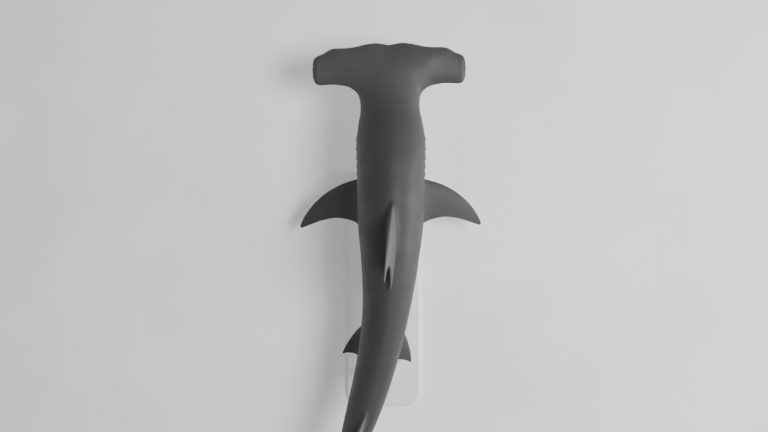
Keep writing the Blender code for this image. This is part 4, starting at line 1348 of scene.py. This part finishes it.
def turned_rod(name, station, bottom):
    """A rod turned from a profile, from its flange up to the belly that its head fits."""
    belly, _, _, up = axis_frame(station)
    belly = belly + bottom_level(station) * up
    height = belly[2] - bottom
    profile = (
        (0.0, 0.0), (FLANGE_RADIUS, 0.0), (FLANGE_RADIUS, FLANGE_THICKNESS - FLANGE_EDGE),
        (FLANGE_RADIUS - FLANGE_EDGE, FLANGE_THICKNESS),
        (ROD_RADIUS + ROD_FILLET, FLANGE_NECK - FLANGE_SLOPE), (ROD_RADIUS, FLANGE_NECK + ROD_FILLET),
        (ROD_RADIUS, height - ROD_HEAD_HEIGHT),
        (ROD_HEAD_RADIUS, height), (ROD_HEAD_RADIUS, height + ROD_OVERRUN), (0.0, height + ROD_OVERRUN),
    )
    bm = bmesh.new()
    line = [bm.verts.new((radius, 0.0, level)) for radius, level in profile]
    edges = [bm.edges.new(pair) for pair in zip(line, line[1:])]
    bmesh.ops.spin(
        bm, geom=line + edges, axis=(0.0, 0.0, 1.0), steps=ROD_SIDES, angle=2 * math.pi, use_merge=True
    )
    bmesh.ops.remove_doubles(bm, verts=bm.verts, dist=SAME_POINT)
    bmesh.ops.translate(bm, verts=bm.verts, vec=(belly[0], belly[1], bottom))
    rod = solid(name, bm)
    combine(rod, body("cutter", gills=False), "DIFFERENCE")
    return rod


def add_stand():
    dress(base_plate(), base_material(), "base", "stand_base", angle=SHARP_ANGLE)
    steel = rod_material()
    for node, station in ROD_STATIONS.items():
        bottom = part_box(node)[0][2]
        rod = turned_rod(node.replace("stand_", "turned_"), station * PERCENT, bottom)
        dress(rod, steel, "rod", node, angle=SHARP_ANGLE)


def add_floor():
    """A wide pale floor under the stand."""
    bm = bmesh.new()
    bmesh.ops.create_grid(bm, x_segments=8, y_segments=8, size=FLOOR_HALF)
    mesh = bpy.data.meshes.new("floor")
    bm.to_mesh(mesh)
    bm.free()
    floor = placed("floor", mesh)
    graph = Graph("floor_paint")
    tone = graph.mix(graph.ramp(graph.noise(1.4), 0.35, 0.65), FLOOR_LIGHT, FLOOR_SHADE)
    graph.set(Base_Color=tone, Roughness=0.85)
    mesh.materials.append(graph.material)


def add_light(name, energy, place, size):
    """A round softbox that points at the shark."""
    light = bpy.data.lights.new(name, "AREA")
    light.energy = energy
    light.shape = "DISK"
    light.size = size
    obj = placed(name, light)
    obj.location = place
    aim = Vector((0.0, 0.0, AXIS_HEIGHT)) - Vector(place)
    obj.rotation_euler = aim.to_track_quat("-Z", "Y").to_euler()


def add_lights():
    """Soft studio light, strongest from the shark's right."""
    world = bpy.data.worlds.new("studio")
    world.use_nodes = True
    sky = world.node_tree.nodes["Background"].inputs
    sky["Color"].default_value = WORLD_COLOUR
    sky["Strength"].default_value = WORLD_STRENGTH
    bpy.context.scene.world = world
    add_light("key", KEY_ENERGY, KEY_PLACE, KEY_SIZE)
    add_light("side", SIDE_ENERGY, SIDE_PLACE, SIDE_SIZE)


def add_camera():
    """A camera looking straight down, the shark's head at the top of its picture."""
    data = bpy.data.cameras.new("camera")
    data.sensor_width = SENSOR_WIDTH
    data.lens = SENSOR_WIDTH * CAMERA_ABOVE_AXIS / VIEW_WIDTH
    camera = placed("camera", data)
    camera.matrix_world = Matrix((
        (-1.0, 0.0, 0.0, CAMERA_X),
        (0.0, -1.0, 0.0, CAMERA_Y),
        (0.0, 0.0, 1.0, AXIS_HEIGHT + CAMERA_ABOVE_AXIS),
        (0.0, 0.0, 0.0, 1.0),
    ))
    bpy.context.scene.camera = camera


def main():
    add_camera()
    add_floor()
    add_lights()
    add_stand()
    add_eyes()
    add_skin()


main()
